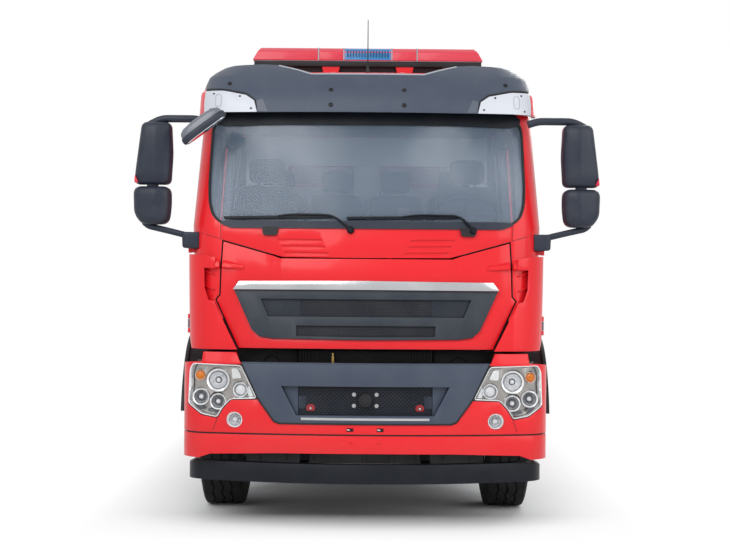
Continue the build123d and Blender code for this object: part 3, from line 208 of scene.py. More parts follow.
def tread_plate():
    """Rolled alloy sheet with raised studs, worn darker in patches."""
    finish = Finish("tread_plate_alloy", (0.52, 0.53, 0.55), 0.4, 0.9)
    studs = finish.node("ShaderNodeTexVoronoi", {}, {"Vector": finish.place(), "Scale": 38.0}, "Distance")
    worn = finish.noise(5.0).between(0.3, 0.75)
    finish.feed("Base Color", finish.mix(worn, (0.26, 0.27, 0.28), (0.37, 0.38, 0.40)))
    finish.feed("Roughness", finish.noise(40.0) * 0.15 + 0.42)
    finish.bump(1 - studs.between(0.12, 0.3), 0.6, 0.003)
    return finish.material


def glazing(name, tint, deep, alpha, alpha_deep):
    """Tinted glass with soft pale patches of painted cloud reflection, paler low down as a painted sky
    reflection and darker towards the roof as painted shade.
    """
    finish = Finish(name, tint, 0.02, Specular_IOR_Level=0.5)
    # Share of the dark top colour: painted shade towards the roof; below it the paler colour is a painted
    # sky reflection.
    sky = (finish.along("Z") + finish.noise(1.1, 2.0) * 0.5).between(2.55, 2.95)
    # Soft pale patches: painted reflection of clouds.
    painted_cloud_reflection = finish.noise(1.7, 3.0, (1.0, 1.0, 0.7)).between(0.52, 0.78)
    finish.feed("Base Color", finish.mix(painted_cloud_reflection * 0.7, finish.mix(sky, deep, tint), (0.56, 0.62, 0.70)))
    finish.feed("Alpha", sky * (alpha - alpha_deep) + painted_cloud_reflection * 0.08 + alpha_deep)
    finish.feed("Roughness", finish.noise(3.0).between(0.35, 0.8) * 0.04 + 0.10)
    return finish.material


def lamp_cover():
    finish = Finish("clear_lamp_cover", (0.03, 0.032, 0.035), 0.03, Alpha=0.05, Specular_IOR_Level=0.7)
    finish.feed("Roughness", finish.noise(9.0).between(0.35, 0.8) * 0.05 + 0.02)
    return finish.material


def lens(name, colour, deep, axis="X", flutes=900.0):
    """Coloured lamp cover with moulded flutes across one axis."""
    finish = Finish(name, colour, 0.22, Coat_Weight=0.2, Coat_Roughness=0.06, Specular_IOR_Level=0.3)
    wave = finish.node("ShaderNodeMath", {"operation": "SINE"}, {0: finish.along(axis) * flutes})
    finish.feed("Base Color", finish.mix(wave.between(-1.0, 1.0), deep, colour))
    finish.bump(wave, 0.2, 0.001)
    return finish.material


def tyre_rubber():
    finish = Finish("tyre_rubber", (0.012, 0.012, 0.013), 0.85, Specular_IOR_Level=0.2)
    dust = finish.noise(13.0, 6.0).between(0.45, 0.8) * 0.3
    finish.feed("Base Color", finish.mix(dust, (0.012, 0.012, 0.013), (0.05, 0.048, 0.046)))
    finish.feed("Roughness", finish.noise(30.0) * 0.2 + 0.7)
    finish.bump(finish.noise(300.0, 3.0), 0.3, 0.001)
    return finish.material


def cloth(name, colour):
    """Woven seat cloth, rubbed paler in patches."""
    finish = Finish(name, colour, 0.9, Sheen_Weight=0.3)
    weave = finish.node("ShaderNodeTexVoronoi", {}, {"Vector": finish.place(), "Scale": 420.0}, "Distance")
    worn = finish.noise(7.0).between(0.35, 0.75)
    finish.feed("Base Color", finish.mix(worn, shade(colour, 0.75), colour))
    finish.feed("Roughness", worn * 0.1 + 0.82)
    finish.bump(weave, 0.2, 0.0006)
    return finish.material


def mirror_silver():
    finish = Finish("mirror_silver", (0.80, 0.82, 0.84), 0.03, 1.0)
    finish.feed("Roughness", finish.noise(5.0).between(0.4, 0.8) * 0.04 + 0.02)
    return finish.material


RED = red_paint()
DARK = moulded("dark_grey_plastic", (0.050, 0.063, 0.093), 0.42, shine=0.25)
GRILLE = moulded("grille_plastic", (0.028, 0.034, 0.045), 0.45, shine=0.25)
BLACK = moulded("black_plastic", (0.012, 0.012, 0.014), 0.5, shine=0.25)
SHELL = moulded("mirror_shell_plastic", (0.019, 0.024, 0.038), 0.42, shine=0.25)
SCREEN_BAND = moulded("screen_edge_print", (0.005, 0.007, 0.011), 0.4, dust=0.03, shine=0.15)
PATCH_GREY = moulded("visor_patch_plastic", (0.085, 0.098, 0.128), 0.4)
# Paler than the mirror shell's plastic: painted highlight of the sky on the dome's top.
DOME_PAINTED_HIGHLIGHT = moulded("mirror_dome_painted_highlight", (0.12, 0.13, 0.155), 0.28, shine=0.6)
PALE_GREY = moulded("pale_grey_plastic", (0.34, 0.36, 0.40), 0.4)
WHITE = moulded("white_panel_plastic", (0.55, 0.57, 0.62), 0.35)
RUBBER = moulded("seal_rubber", (0.012, 0.013, 0.015), 0.6, grain=500.0, shine=0.25)
BLACK_STEEL = moulded("black_frame_paint", (0.014, 0.014, 0.016), 0.4, grain=300.0, dust=0.2, shine=0.25)
BAR_STEEL = moulded("dark_bar_paint", (0.007, 0.009, 0.014), 0.4, grain=250.0, dust=0.04, shine=0.18)
CAST = moulded("cast_iron_paint", (0.05, 0.05, 0.054), 0.6, grain=150.0, dust=0.3)
LAMP_GREY = moulded("lamp_ring_plastic", (0.11, 0.115, 0.13), 0.4)
TRIM_GREY = moulded("cab_trim_plastic", (0.13, 0.14, 0.16), 0.6)
LINER = moulded("roof_liner_felt", (0.72, 0.74, 0.77), 0.85, grain=400.0)
EYE_RED = moulded("recovery_eye_paint", (0.26, 0.012, 0.016), 0.4)
CHROME = metal("chrome", (0.56, 0.57, 0.59), 0.16)
COLLAR = metal("lamp_collar_coating", (0.90, 0.91, 0.92), 0.2, metallic=0.6)
BEZEL = metal("lamp_bezel_coating", (0.44, 0.42, 0.40), 0.3, metallic=0.7)
REFLECTOR = metal("lamp_reflector_coating", (0.94, 0.95, 0.97), 0.15, metallic=0.7)
ALLOY = metal("drawn_alloy", (0.48, 0.49, 0.51), 0.40, (1.0, 0.05, 6.0))
STEEL = metal("brushed_steel", (0.50, 0.51, 0.52), 0.38, (4.0, 0.2, 1.0))
BRASS = metal("brass_fitting", (0.70, 0.50, 0.18), 0.3)
WHEEL_PAINT = metal("wheel_silver_paint", (0.52, 0.53, 0.54), 0.42, metallic=0.7)
TREAD_PLATE = tread_plate()
# The paler colour is a painted sky reflection, the darker tint painted shade towards the roof.
GLASS = glazing("cab_glass", (0.09, 0.135, 0.20), (0.36, 0.45, 0.58), 0.28, 0.19)
CLEAR = lamp_cover()
MIRROR = mirror_silver()
RED_LENS = lens("red_lens", (0.72, 0.045, 0.085), (0.52, 0.018, 0.036))
BLUE_LENS = lens("blue_lens", (0.012, 0.26, 0.58), (0.006, 0.16, 0.42))
BLUE_SLAT = moulded("blue_slat_plastic", (0.006, 0.05, 0.15), 0.3)
AMBER_LENS = lens("amber_lens", (0.80, 0.24, 0.012), (0.52, 0.11, 0.004), "Z", 700.0)
FLUTED = lens("fluted_clear_lens", (0.82, 0.83, 0.85), (0.55, 0.56, 0.58), "X", 1400.0)
SEAT_CLOTH = cloth("seat_cloth", (0.026, 0.028, 0.034))
SEAT_EDGE = cloth("seat_side_cloth", (0.020, 0.021, 0.025))
TYRE = tyre_rubber()


# Front forms: the cab, the visor and the bumper are each bowed across the truck

def whole(half):
    """Full front outline from its half on +X, listed from the bottom centre to the top centre."""
    return [Vector(p) for p in half] + [Vector((-x, z)) for x, z in reversed(half) if x > 0]


class Bowed:
    """Skin bowed across the front with rounded corners, from its plan at several heights."""

    def __init__(self, bow, corner, *stations):
        self.bow = bow
        self.corner = corner
        self.stations = stations

    def plan(self, z):
        for low, high in zip(self.stations, self.stations[1:]):
            if z <= high[0] or high is self.stations[-1]:
                share = (z - low[0]) / (high[0] - low[0])
                return low[1] + share * (high[1] - low[1]), low[2] + share * (high[2] - low[2])

    def depth(self, x, z):
        half, front = self.plan(z)
        radius = (half ** 2 + self.bow ** 2) / (2 * self.bow)
        turn_x = half - self.corner
        turn_y = front + radius - math.sqrt((radius - self.corner) ** 2 - turn_x ** 2)
        meet = turn_x * radius / (radius - self.corner)
        reach = abs(x)
        if reach <= meet:
            return front + radius - math.sqrt(radius ** 2 - reach ** 2)
        return turn_y - math.sqrt(max(self.corner ** 2 - (reach - turn_x) ** 2, 0.0))

    def out(self, x, z):
        step = 0.002
        slope_x = (self.depth(x + step, z) - self.depth(x - step, z)) / (2 * step)
        slope_z = (self.depth(x, z + step) - self.depth(x, z - step)) / (2 * step)
        return Vector((slope_x, -1.0, slope_z)).normalized()

    def at(self, x, z, lift=0.0):
        return Vector((x, self.depth(x, z), z)) + self.out(x, z) * lift


CAB = Bowed(0.110, 0.230, (1.171, 1.128, -4.033), (1.978, 1.155, -3.975), (2.875, 1.088, -3.800))
BUMPER = Bowed(0.150, 0.210, (0.4, 1.190, -4.142), (1.2, 1.190, -4.142))
VISOR = Bowed(0.120, 0.250, (2.718, 1.116, -3.935), (2.860, 1.112, -3.880), (2.985, 1.085, -3.770),
              (3.080, 1.000, -3.640))
SCREEN = whole([(0, 1.985), (0.880, 1.990), (0.962, 2.000), (1.010, 2.045), (1.034, 2.120), (1.042, 2.230),
                (1.030, 2.600), (1.016, 2.668), (0, 2.690)])


def cab_side_x(z):
    return CAB.plan(z)[0]


# Mesh helpers

SMOOTH_ANGLE = 38


def put(name, bm, body, finish, smooth=SMOOTH_ANGLE):
    """Mesh piece on a body; faces that meet under the smooth angle are shaded round."""
    mesh = bpy.data.meshes.new(name)
    bmesh.ops.recalc_face_normals(bm, faces=bm.faces[:])
    bm.to_mesh(mesh)
    bm.free()
    piece = bpy.data.objects.new(name, mesh)
    bpy.context.scene.collection.objects.link(piece)
    for material in finish if isinstance(finish, list) else [finish]:
        mesh.materials.append(material)
    mesh.polygons.foreach_set("use_smooth", [True] * len(mesh.polygons))
    mesh.set_sharp_from_angle(angle=math.radians(smooth))
    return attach(piece, body)


@contextmanager
def new(name, finish, body="chassis"):
    """Empty mesh to fill; at the end of its with block it goes on its body as a piece."""
    bm = bmesh.new()
    yield bm
    put(name, bm, body, finish)


def spots(side, points):
    """Front points on one side of the truck."""
    return [Vector((side * x, z)) for x, z in points]


def both(points):
    """A front line or outline on the left, and its twin on the right."""
    return [spots(side, points) for side in SIDES]


def around(x, z, points):
    """Front points given from a place of their own."""
    return [Vector((x + u, z + v)) for u, v in points]


def panel(x0, z0, x1, z1):
    return [Vector((x0, z0)), Vector((x1, z0)), Vector((x1, z1)), Vector((x0, z1))]


def flat(half, low, high):
    """Section of a plain strip, from low to high over the skin."""
    return [(-half, low), (-half, high), (half, high), (half, low)]


def arc(before, corner, after, radius, share, steps=5):
    """Points that round one corner of a line, on at most a share of its legs."""
    before, after = before - corner, after - corner
    reach = min(radius, before.length * share, after.length * share)
    start, end = corner + before.normalized() * reach, corner + after.normalized() * reach
    shares = [step / steps for step in range(steps + 1)]
    return [start * (1 - t) ** 2 + corner * (2 * t * (1 - t)) + end * t ** 2 for t in shares]


def filleted(points, radius, steps=5):
    """Closed outline with its corners rounded."""
    corners = zip(points[-1:] + points, points, points[1:] + points[:1])
    return [p for corner in corners for p in arc(*corner, radius, 0.45, steps)]


def bent(points, radius):
    """Open line with its inner corners rounded."""
    corners = zip(points, points[1:], points[2:])
    return [points[0], *(p for corner in corners for p in arc(*corner, radius, 0.48)), points[-1]]


def stepped(points, spacing, closed=True):
    """The same line with no run longer than the spacing."""
    ends = points[1:] + points[:1] if closed else points[1:]
    line = []
    for start, end in zip(points, ends):
        count = max(1, math.ceil((end - start).length / spacing))
        line += [start.lerp(end, k / count) for k in range(count)]
    return line if closed else line + [points[-1]]


def bridge(bm, rings, closed=False, caps=True):
    """Skins a row of rings of places, all of the same size."""
    rings = [[bm.verts.new(place) for place in ring] for ring in rings]
    ends = rings[1:] + rings[:1] if closed else rings[1:]
    for first, second in zip(rings, ends):
        count = len(first)
        for k in range(count):
            bm.faces.new((first[k], first[(k + 1) % count], second[(k + 1) % count], second[k]))
    if caps and not closed:
        bm.faces.new(rings[0][::-1])
        bm.faces.new(rings[-1])


def sweep(bm, path, outs, section, closed=False):
    """Section of (across, out) pairs carried along a path whose outward directions are given."""
    rings = []
    count = len(path)
    for index, (place, out) in enumerate(zip(path, outs)):
        ahead = path[(index + 1) % count] if closed or index + 1 < count else place
        behind = path[index - 1] if closed or index else place
        along = (ahead - behind).normalized()
        across = along.cross(out).normalized()
        rings.append([place + across * u + out * v for u, v in section])
    bridge(bm, rings, closed)


def strip_on(bm, skin, points, section, closed=False, spacing=0.04):
    """Strip with a section, laid on a bowed skin along a front line."""
    line = stepped(points, spacing, closed)
    sweep(bm, [skin.at(p.x, p.y) for p in line], [skin.out(p.x, p.y) for p in line], section, closed)


def circle(centre, first, second, radius, sides):
    """Ring of places in the plane of two directions."""
    angles = [2 * math.pi * k / sides for k in range(sides)]
    return [centre + (first * math.cos(a) + second * math.sin(a)) * radius for a in angles]


def tube(bm, path, radius, sides=10):
    """Round tube along points."""
    out = None
    rings = []
    for index, place in enumerate(path):
        along = (path[min(index + 1, len(path) - 1)] - path[max(index - 1, 0)]).normalized()
        out = along.orthogonal() if out is None else out - along * out.dot(along)
        out.normalize()
        rings.append(circle(place, out, along.cross(out), radius, sides))
    bridge(bm, rings)


def lathe(bm, origin, axis, profile, segments, loop=False):
    """Turned form from (radius, along) pairs; a loop joins the last pair to the first."""
    axis = Vector(axis).normalized()
    side = axis.orthogonal().normalized()
    up = axis.cross(side)
    rings = []
    for radius, along in profile:
        spokes = segments if radius > 1e-6 else 1
        ring = circle(Vector(origin) + axis * along, side, up, radius, spokes)
        rings.append([bm.verts.new(place) for place in ring])
    for first, second in zip(rings, rings[1:] + (rings[:1] if loop else [])):
        for k in range(segments):
            corners = ((first, k), (first, k + 1), (second, k + 1), (second, k))
            corners = list(dict.fromkeys(ring[n % len(ring)] for ring, n in corners))
            if len(corners) > 2:
                bm.faces.new(corners)


def thicken(bm, faces, back):
    """Closes a sheet with a second side at the places that back gives for its vertices."""
    edges = [loop for face in faces for loop in face.loops if len(loop.edge.link_faces) == 1]
    rims = [(loop.vert, loop.link_loop_next.vert) for loop in edges]
    twin = {v: bm.verts.new(back(v)) for face in faces for v in face.verts}
    for face in faces:
        bm.faces.new([twin[v] for v in reversed(face.verts)])
    for first, second in rims:
        bm.faces.new((second, first, twin[first], twin[second]))


def plate_on(bm, skin, points, lift, thick, grid):
    """Plate that follows a bowed skin inside a front outline."""
    rim = stepped(points, grid)
    count = len(rim)
    low_x, high_x = min(p.x for p in rim), max(p.x for p in rim)
    low_z, high_z = min(p.y for p in rim), max(p.y for p in rim)
    inner = []
    columns = max(1, math.ceil((high_x - low_x) / grid))
    rows = max(1, math.ceil((high_z - low_z) / grid))
    for column in range(1, columns):
        for row in range(1, rows):
            inner.append(Vector((low_x + (high_x - low_x) * column / columns,
                                 low_z + (high_z - low_z) * row / rows)))
    found = delaunay_2d_cdt(rim + inner, [], [list(range(count))], 1, 1e-6)
    verts = [bm.verts.new(skin.at(p.x, p.y, lift)) for p in found[0]]
    faces = [bm.faces.new([verts[i] for i in face]) for face in found[2]]
    spare = [v for v in verts if not v.link_faces]
    for vert in spare:
        bm.verts.remove(vert)
    deep = {v: skin.at(v.co.x, v.co.z, lift - thick) for face in faces for v in face.verts}
    thicken(bm, faces, lambda v: deep[v])


def plates(name, finish, skin, outlines, lift, thick, grid=0.05, body="chassis"):
    """Piece made of plates on a bowed skin, one for each outline."""
    with new(name, finish, body) as bm:
        for outline in outlines:
            plate_on(bm, skin, outline, lift, thick, grid)


def strips(name, finish, skin, lines, section, closed=False, spacing=0.04):
    """Piece made of strips on a bowed skin, one along each line."""
    with new(name, finish) as bm:
        for line in lines:
            strip_on(bm, skin, line, section, closed, spacing)


AHEAD = Vector((0, -1, 0))


def turned(name, finish, place, profile, segments, loop=False, smooth=SMOOTH_ANGLE):
    """Piece turned about an axis that points ahead."""
    bm = bmesh.new()
    lathe(bm, place, AHEAD, profile, segments, loop)
    put(name, bm, "chassis", finish, smooth)


def block(bm, low, high, cut):
    """Box between two opposite corners with its edges cut."""
    low, high = Vector(map(min, low, high)), Vector(map(max, low, high))
    made = bmesh.ops.create_cube(bm, size=1.0, matrix=Matrix.Translation((low + high) / 2)
                                 @ Matrix.Diagonal((*(high - low), 1.0)))
    if cut:
        edges = list(dict.fromkeys(edge for vert in made["verts"] for edge in vert.link_edges))
        bmesh.ops.bevel(bm, geom=edges, offset=cut, segments=2, profile=0.5, affect="EDGES",
                        clamp_overlap=True)


def dome_screw(bm, place, out, radius):
    head = [(0, -0.004), (radius, -0.004), (radius, radius * 0.25), (radius * 0.8, radius * 0.55),
            (radius * 0.45, radius * 0.66), (radius * 0.4, radius * 0.3), (0, radius * 0.3)]
    lathe(bm, place, out, head, 14)


def hex_bolt(bm, place, out, radius):
    washer = [(0, -0.002), (radius * 1.5, -0.002), (radius * 1.5, radius * 0.22), (0, radius * 0.22)]
    head = [(0, 0.0), (radius, 0.0), (radius, radius * 0.85), (radius * 0.85, radius), (0, radius)]
    lathe(bm, place, out, washer, 18)
    lathe(bm, place, out, head, 6)


def welded(node):
    """The node's mesh with doubled vertices joined and flat triangles merged."""
    bm = bmesh.new()
    bm.from_mesh(NODES[node].data)
    bmesh.ops.remove_doubles(bm, verts=bm.verts[:], dist=2e-5)
    bmesh.ops.dissolve_limit(bm, angle_limit=math.radians(0.6), verts=bm.verts[:], edges=bm.edges[:])
    return bm


def solids(bm):
    """Connected groups of faces, each with its lowest and highest corner."""
    left = set(bm.faces)
    while left:
        group = set()
        wave = [left.pop()]
        while wave:
            face = wave.pop()
            group.add(face)
            for edge in face.edges:
                for other in edge.link_faces:
                    if other in left:
                        left.remove(other)
                        wave.append(other)
        places = [v.co for face in group for v in face.verts]
        yield group, Vector(map(min, *places)), Vector(map(max, *places))


def soften(node, width, finishes, pick=None, segments=2, limit=32, by_face=None, shape=None):
    """Stands for a node with its hard edges rounded; pick gives each solid's finish, by_face each face's."""
    bm = welded(node)
    if shape:
        shape(bm)
    if by_face:
        for face in bm.faces:
            face.material_index = by_face(face.calc_center_median(), face.normal)
    if pick:
        for group, low, high in list(solids(bm)):
            index = pick(low, high)
            for face in group:
                face.material_index = index
    edges = [e for e in bm.edges if len(e.link_faces) == 2 and e.calc_face_angle() > math.radians(limit)]
    bmesh.ops.bevel(bm, geom=edges, offset=width, offset_type="OFFSET", segments=segments, profile=0.5,
                    affect="EDGES", clamp_overlap=True)
    piece = put(node + "_finish", bm, BODY_OF[node], finishes)
    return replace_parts(piece, node)


CAB_MIDDLE = Vector((0, -2.4, 2.0))


def lining(place, normal):
    """1 on the inner side of the cab's walls and in their openings, 0 outside."""
    deep = (place.z < 2.85 and abs(place.x) < cab_side_x(place.z) - 0.02
            and CAB.depth(place.x, place.z) + 0.03 < place.y < -1.09)
    return 1 if deep or normal.dot((place - CAB_MIDDLE).normalized()) < 0.45 else 0


def door_lining(place, normal):
    return 1 if normal.y < -0.5 else lining(place, normal)


def front_lining(place, normal):
    """0 on the cowl's outside and the header's, 1 on the header's inside, 2 behind the hatch."""
    if place.z > 2.0:
        return lining(place, normal)
    return 0 if place.y < CAB.depth(place.x, place.z) + 0.012 else 2


# Windscreen, cowl and wipers

THIN_SEAM = flat(0.0016, -0.001, 0.0006)
SCREEN_GASKET = [(-0.010, -0.008), (-0.008, 0.001), (0.0, 0.003), (0.006, 0.002), (0.009, -0.008)]
SCREEN_TOP = whole([(0, 2.646), (0.6, 2.645), (0.93, 2.640), (1.008, 2.652), (1.016, 2.70), (0.965, 2.737),
                    (0, 2.738)])
SCUTTLE = whole([(0, 1.958), (0.885, 1.960), (0.968, 1.992), (0.930, 2.008), (0, 2.006)])
WIPER_COVER = [(-0.046, 1.912), (0.046, 1.912), (0.054, 1.968), (-0.054, 1.968)]
HATCH_CORNER = [(0.550, 1.738), (0.614, 1.738), (0.614, 1.7815), (0.606, 1.7795), (0.558, 1.7632),
                (0.550, 1.7630)]
HATCH_EDGE = [(0.8296, 1.172), (0.9832, 1.4948), (0.9565, 1.5244), (0.9525, 1.702), (0.9416, 1.8821),
              (0.6204, 1.793)]
WIPERS = ((-0.930, -0.225, -0.235, -0.104), (-0.130, 0.598, 0.592, 0.692))
BLADE = [(-0.003, -0.007), (0.003, -0.007), (0.003, 0.004), (0.010, 0.007), (0.008, 0.017), (-0.008, 0.017),
         (-0.010, 0.007), (-0.003, 0.004)]
ARM = ((-1, 0.016), (1, 0.016), (0.7, 0.027), (-0.7, 0.027))
PIVOT_CAP = [(0, -0.002), (0.024, -0.002), (0.024, 0.020), (0.017, 0.029), (0, 0.031)]


def windscreen_trim():
    strips("windscreen_gasket", RUBBER, CAB, [filleted(SCREEN, 0.075)], SCREEN_GASKET, True)
    plates("windscreen_top_band", SCREEN_BAND, CAB, [SCREEN_TOP], 0.004, 0.010)
    plates("windscreen_scuttle", SHELL, CAB, [filleted(SCUTTLE, 0.02)], 0.0085, 0.012)


def cowl_trim():
    covers = [filleted(around(x, 0, WIPER_COVER), 0.016) for x in (-0.625, 0.661)]
    plates("wiper_base_covers", BLACK, CAB, covers, 0.020, 0.022, 0.02)
    seams = [spots(side, seam) for side in SIDES
             for seam in (((0.950, 1.887), (1.108, 1.934)), ((0.951, 1.888), (0.957, 1.982)))]
    strips("corner_panel_seams", RUBBER, CAB, seams, THIN_SEAM)
    plates("hatch_top_corners", RED, CAB, both(HATCH_CORNER), 0.0006, 0.009, 0.02, "front_hatch")
    # Black strips sunk in the hatch's side gaps: painted shade that keeps the gaps dark.
    strips("hatch_gap_shade_fillers", RUBBER, CAB, both(HATCH_EDGE), flat(0.0015, -0.010, -0.0008))


def wipers():
    """Blade on the glass, flat arm from its pivot, and the pivot's cap."""
    bm = bmesh.new()
    for tip, heel, shoulder, pivot in WIPERS:
        strip_on(bm, CAB, [Vector((tip, 2.026)), Vector((heel, 2.036))], BLADE)
        middle = 0.5 * (tip + heel)
        bends = ((pivot, 1.956), (shoulder + 0.012, 2.044), (middle + 0.10, 2.048), (middle, 2.036))
        arm = stepped(bent(spots(1, bends), 0.05), 0.04, False)
        count = len(arm) - 1
        rings = []
        for index, place in enumerate(arm):
            ahead = arm[min(index + 1, count)] - arm[max(index - 1, 0)]
            wide = (0.0085 - 0.0040 * index / count) * Vector((-ahead.y, ahead.x)).normalized()
            rings.append([CAB.at(place.x + wide.x * s, place.y + wide.y * s, lift) for s, lift in ARM])
        bridge(bm, rings)
        lathe(bm, CAB.at(pivot, 1.950), CAB.out(pivot, 1.950), PIVOT_CAP, 20)
    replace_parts(put("wiper_arms_and_blades", bm, "chassis", SCREEN_BAND), "wipers")


RIDGE_START = 0.792


def front_ridges():
    """Tapering ridges that run from the corner vanes onto the hatch, with a lit upper slope."""
    for body, start, end, name in (("front_hatch", RIDGE_START, 0.932, "hatch_ridges"),
                                   ("chassis", 0.954, 0.992, "corner_ridges")):
        with new(name, RED, body) as bm:
            for side in SIDES:
                rings = []
                for step in range(9):
                    x = start + (end - start) * step / 8
                    share = (x - RIDGE_START) / 0.2
                    low, crease, top = 1.691 + 0.006 * share, 1.711 + 0.022 * share, 1.718 + 0.049 * share
                    rise = 0.008 + 0.030 * share
                    ring = [(low, -0.004), (low + 0.002, 0.8 * rise), (low + 0.007, rise),
                            (crease, rise * 0.96), (crease + 0.4 * (top - crease), rise * 0.66),
                            (top, 0.0005), (top, -0.004)]
                    rings.append([CAB.at(side * x, z, lift) for z, lift in ring])
                bridge(bm, rings)


def corner_slats():
    """Two slats in the slot of each corner vane, falling towards the middle."""
    with new("corner_vane_slats", RED) as bm:
        for side in SIDES:
            for low in (1.552, 1.650):
                rings = []
                for x in (0.990, 1.02, 1.05, 1.066):
                    z = low + 0.42 * (x - 0.990)
                    ring = ((z, 0.0), (z + 0.004, 0.017), (z + 0.010, 0.018), (z + 0.008, 0.0))
                    rings.append([CAB.at(side * x, height, lift) for height, lift in ring])
                bridge(bm, rings)


# Grilles

HEX_CELL = ((0, 0.5), (0.5, 0.25), (0.5, -0.25), (0, -0.5), (-0.5, -0.25), (-0.5, 0.25))
UPPER_FIELD = whole([(0, 1.389), (0.634, 1.389), (0.681, 1.499), (0, 1.499)])
LOWER_FIELD = whole([(0, 1.258), (0.448, 1.264), (0.448, 1.328), (0, 1.328)])
FIELD_END = [(0.43, 1.389), (0.634, 1.389), (0.681, 1.499), (0.43, 1.499)]
UPPER_BACK = whole([(0, 1.390), (0.429, 1.390), (0.429, 1.498), (0, 1.498)])
LOWER_BACK = whole([(0, 1.259), (0.446, 1.265), (0.446, 1.327), (0, 1.327)])


def inside(point, outline):
    """True where a front point lies in an outline."""
    odd = False
    for first, second in zip(outline, outline[1:] + outline[:1]):
        if (first.y > point.y) != (second.y > point.y):
            cross = first.x + (point.y - first.y) * (second.x - first.x) / (second.y - first.y)
            odd ^= point.x < cross
    return odd


def hex_mesh(bm, skin, outline, lift, pitch, bar, thick):
    """Wire mesh of six-sided holes on a bowed skin."""
    tall = pitch * 0.62
    low = Vector((min(p.x for p in outline), min(p.y for p in outline)))
    high = Vector((max(p.x for p in outline), max(p.y for p in outline)))
    columns = math.ceil((high.x - low.x) / pitch) + 1
    rows = math.ceil((high.y - low.y) / (tall * 0.75)) + 1
    shrink = 1 - bar / pitch
    for row in range(rows):
        for column in range(columns):
            centre = Vector((low.x + (column + 0.5 * (row % 2)) * pitch, low.y + row * tall * 0.75))
            if not inside(centre, outline):
                continue
            rings = [[skin.at(centre.x + u * pitch * scale, centre.y + v * tall * scale, lift - depth)
                      for u, v in HEX_CELL] for scale, depth in ((1.0, 0.0), (shrink, 0.0), (shrink, thick))]
            bridge(bm, rings, caps=False)
    bmesh.ops.remove_doubles(bm, verts=bm.verts[:], dist=1e-5)


def hatch_grille():
    soften("hatch_grille", 0.0025, [GRILLE, CHROME], lambda low, high: int(low.z > 1.5))
    with new("grille_mesh", SHELL, "front_hatch") as bm:
        for field in (UPPER_FIELD, LOWER_FIELD):
            hex_mesh(bm, CAB, field, -0.002, 0.022, 0.0045, 0.004)
    plates("grille_blanks", GRILLE, CAB, both(FIELD_END), -0.0065, 0.0012, body="front_hatch")
    plates("grille_backing", BLACK, CAB, [UPPER_BACK, LOWER_BACK], -0.0065, 0.0012, body="front_hatch")


# Bumper insert

INSERT_FIELD = whole([(0, 0.762), (0.432, 0.762), (0.432, 0.941), (0, 0.941)])
INSERT_CHEEK = [(0.436, 0.760), (0.444, 0.760), (0.536, 0.942), (0.436, 0.942)]
INSERT_GAP = [(0.795, 1.086), (0.692, 0.868), (0.584, 0.719), (0.550, 0.706)]
BRIGHT_STRIP = [(-0.0075, 0.004), (-0.0075, 0.011), (0, 0.0125), (0.0075, 0.011), (0.0075, 0.004)]
TOWING_COVER = [(0, 0.0), (0.030, 0.0), (0.032, 0.004), (0.041, 0.004), (0.044, 0.0), (0.044, -0.045),
                (0, -0.045)]
RECOVERY_EYE = [(-0.024, -0.020), (0.024, -0.020), (0.030, 0.002), (0.016, 0.022), (-0.016, 0.022),
                (-0.030, 0.002)]
EYE_PLACES = (-0.353, 0.353)
EYE_PIN = [(0, 0.006), (0.007, 0.005), (0.009, 0.0), (0, -0.002)]


def bumper_insert():
    soften("bumper_insert", 0.004, [DARK])
    with new("insert_mesh", SHELL) as bm:
        hex_mesh(bm, BUMPER, INSERT_FIELD, -0.040, 0.026, 0.006, 0.005)
    plates("insert_backing", BLACK, BUMPER, [INSERT_FIELD], -0.053, 0.003)
    plates("insert_cheeks", DARK, BUMPER, both(INSERT_CHEEK), -0.034, 0.02)
    foot = spots(1, ((-0.410, 0.737), (0.410, 0.737)))
    strips("insert_bright_strip", CHROME, BUMPER, [foot], BRIGHT_STRIP)
    # Black line along the insert's slanted edges and foot: painted shade of the gap between insert and
    # bumper.
    gap = spots(-1, INSERT_GAP) + spots(1, INSERT_GAP[::-1])
    strips("insert_edge_gap_shade", RUBBER, BUMPER, [gap], flat(0.005, -0.004, 0.0068))
    top = spots(1, ((-0.798, 1.0905), (0.798, 1.0905)))
    strips("insert_top_cap", DARK, BUMPER, [top], flat(0.004, -0.041, 0.0072))
    slots = [panel(x - 0.0215, 0.6565, x + 0.0215, 0.6795) for x in (-0.097, 0.097)]
    plates("tow_slot_linings", BLACK, BUMPER, slots, -0.010, 0.004, 0.02)
    turned("towing_cover", BLACK, BUMPER.at(0, 0.856, -0.003), TOWING_COVER, 36)
    with new("insert_bolts_and_hooks", STEEL) as bm:
        for x in (-0.073, 0.073):
            for z in (0.820, 0.892):
                hex_bolt(bm, BUMPER.at(x, z, -0.040), AHEAD, 0.0085)
        for x in (-0.119, 0.075):
            hook = [BUMPER.at(x, 0.672, -0.02), BUMPER.at(x + 0.004, 0.669, 0.003),
                    BUMPER.at(x + 0.022, 0.668, 0.004)]
            tube(bm, bent(hook, 0.008), 0.005)
    eyes = [filleted(around(x, 0.806, RECOVERY_EYE), 0.010) for x in EYE_PLACES]
    plates("recovery_eyes", EYE_RED, BUMPER, eyes, -0.034, 0.016, 0.02)
    with new("recovery_eye_pins", STEEL) as bm:
        for x in EYE_PLACES:
            lathe(bm, BUMPER.at(x, 0.802, -0.034), AHEAD, EYE_PIN, 16)


# Lamps: places as (x, z, radius)

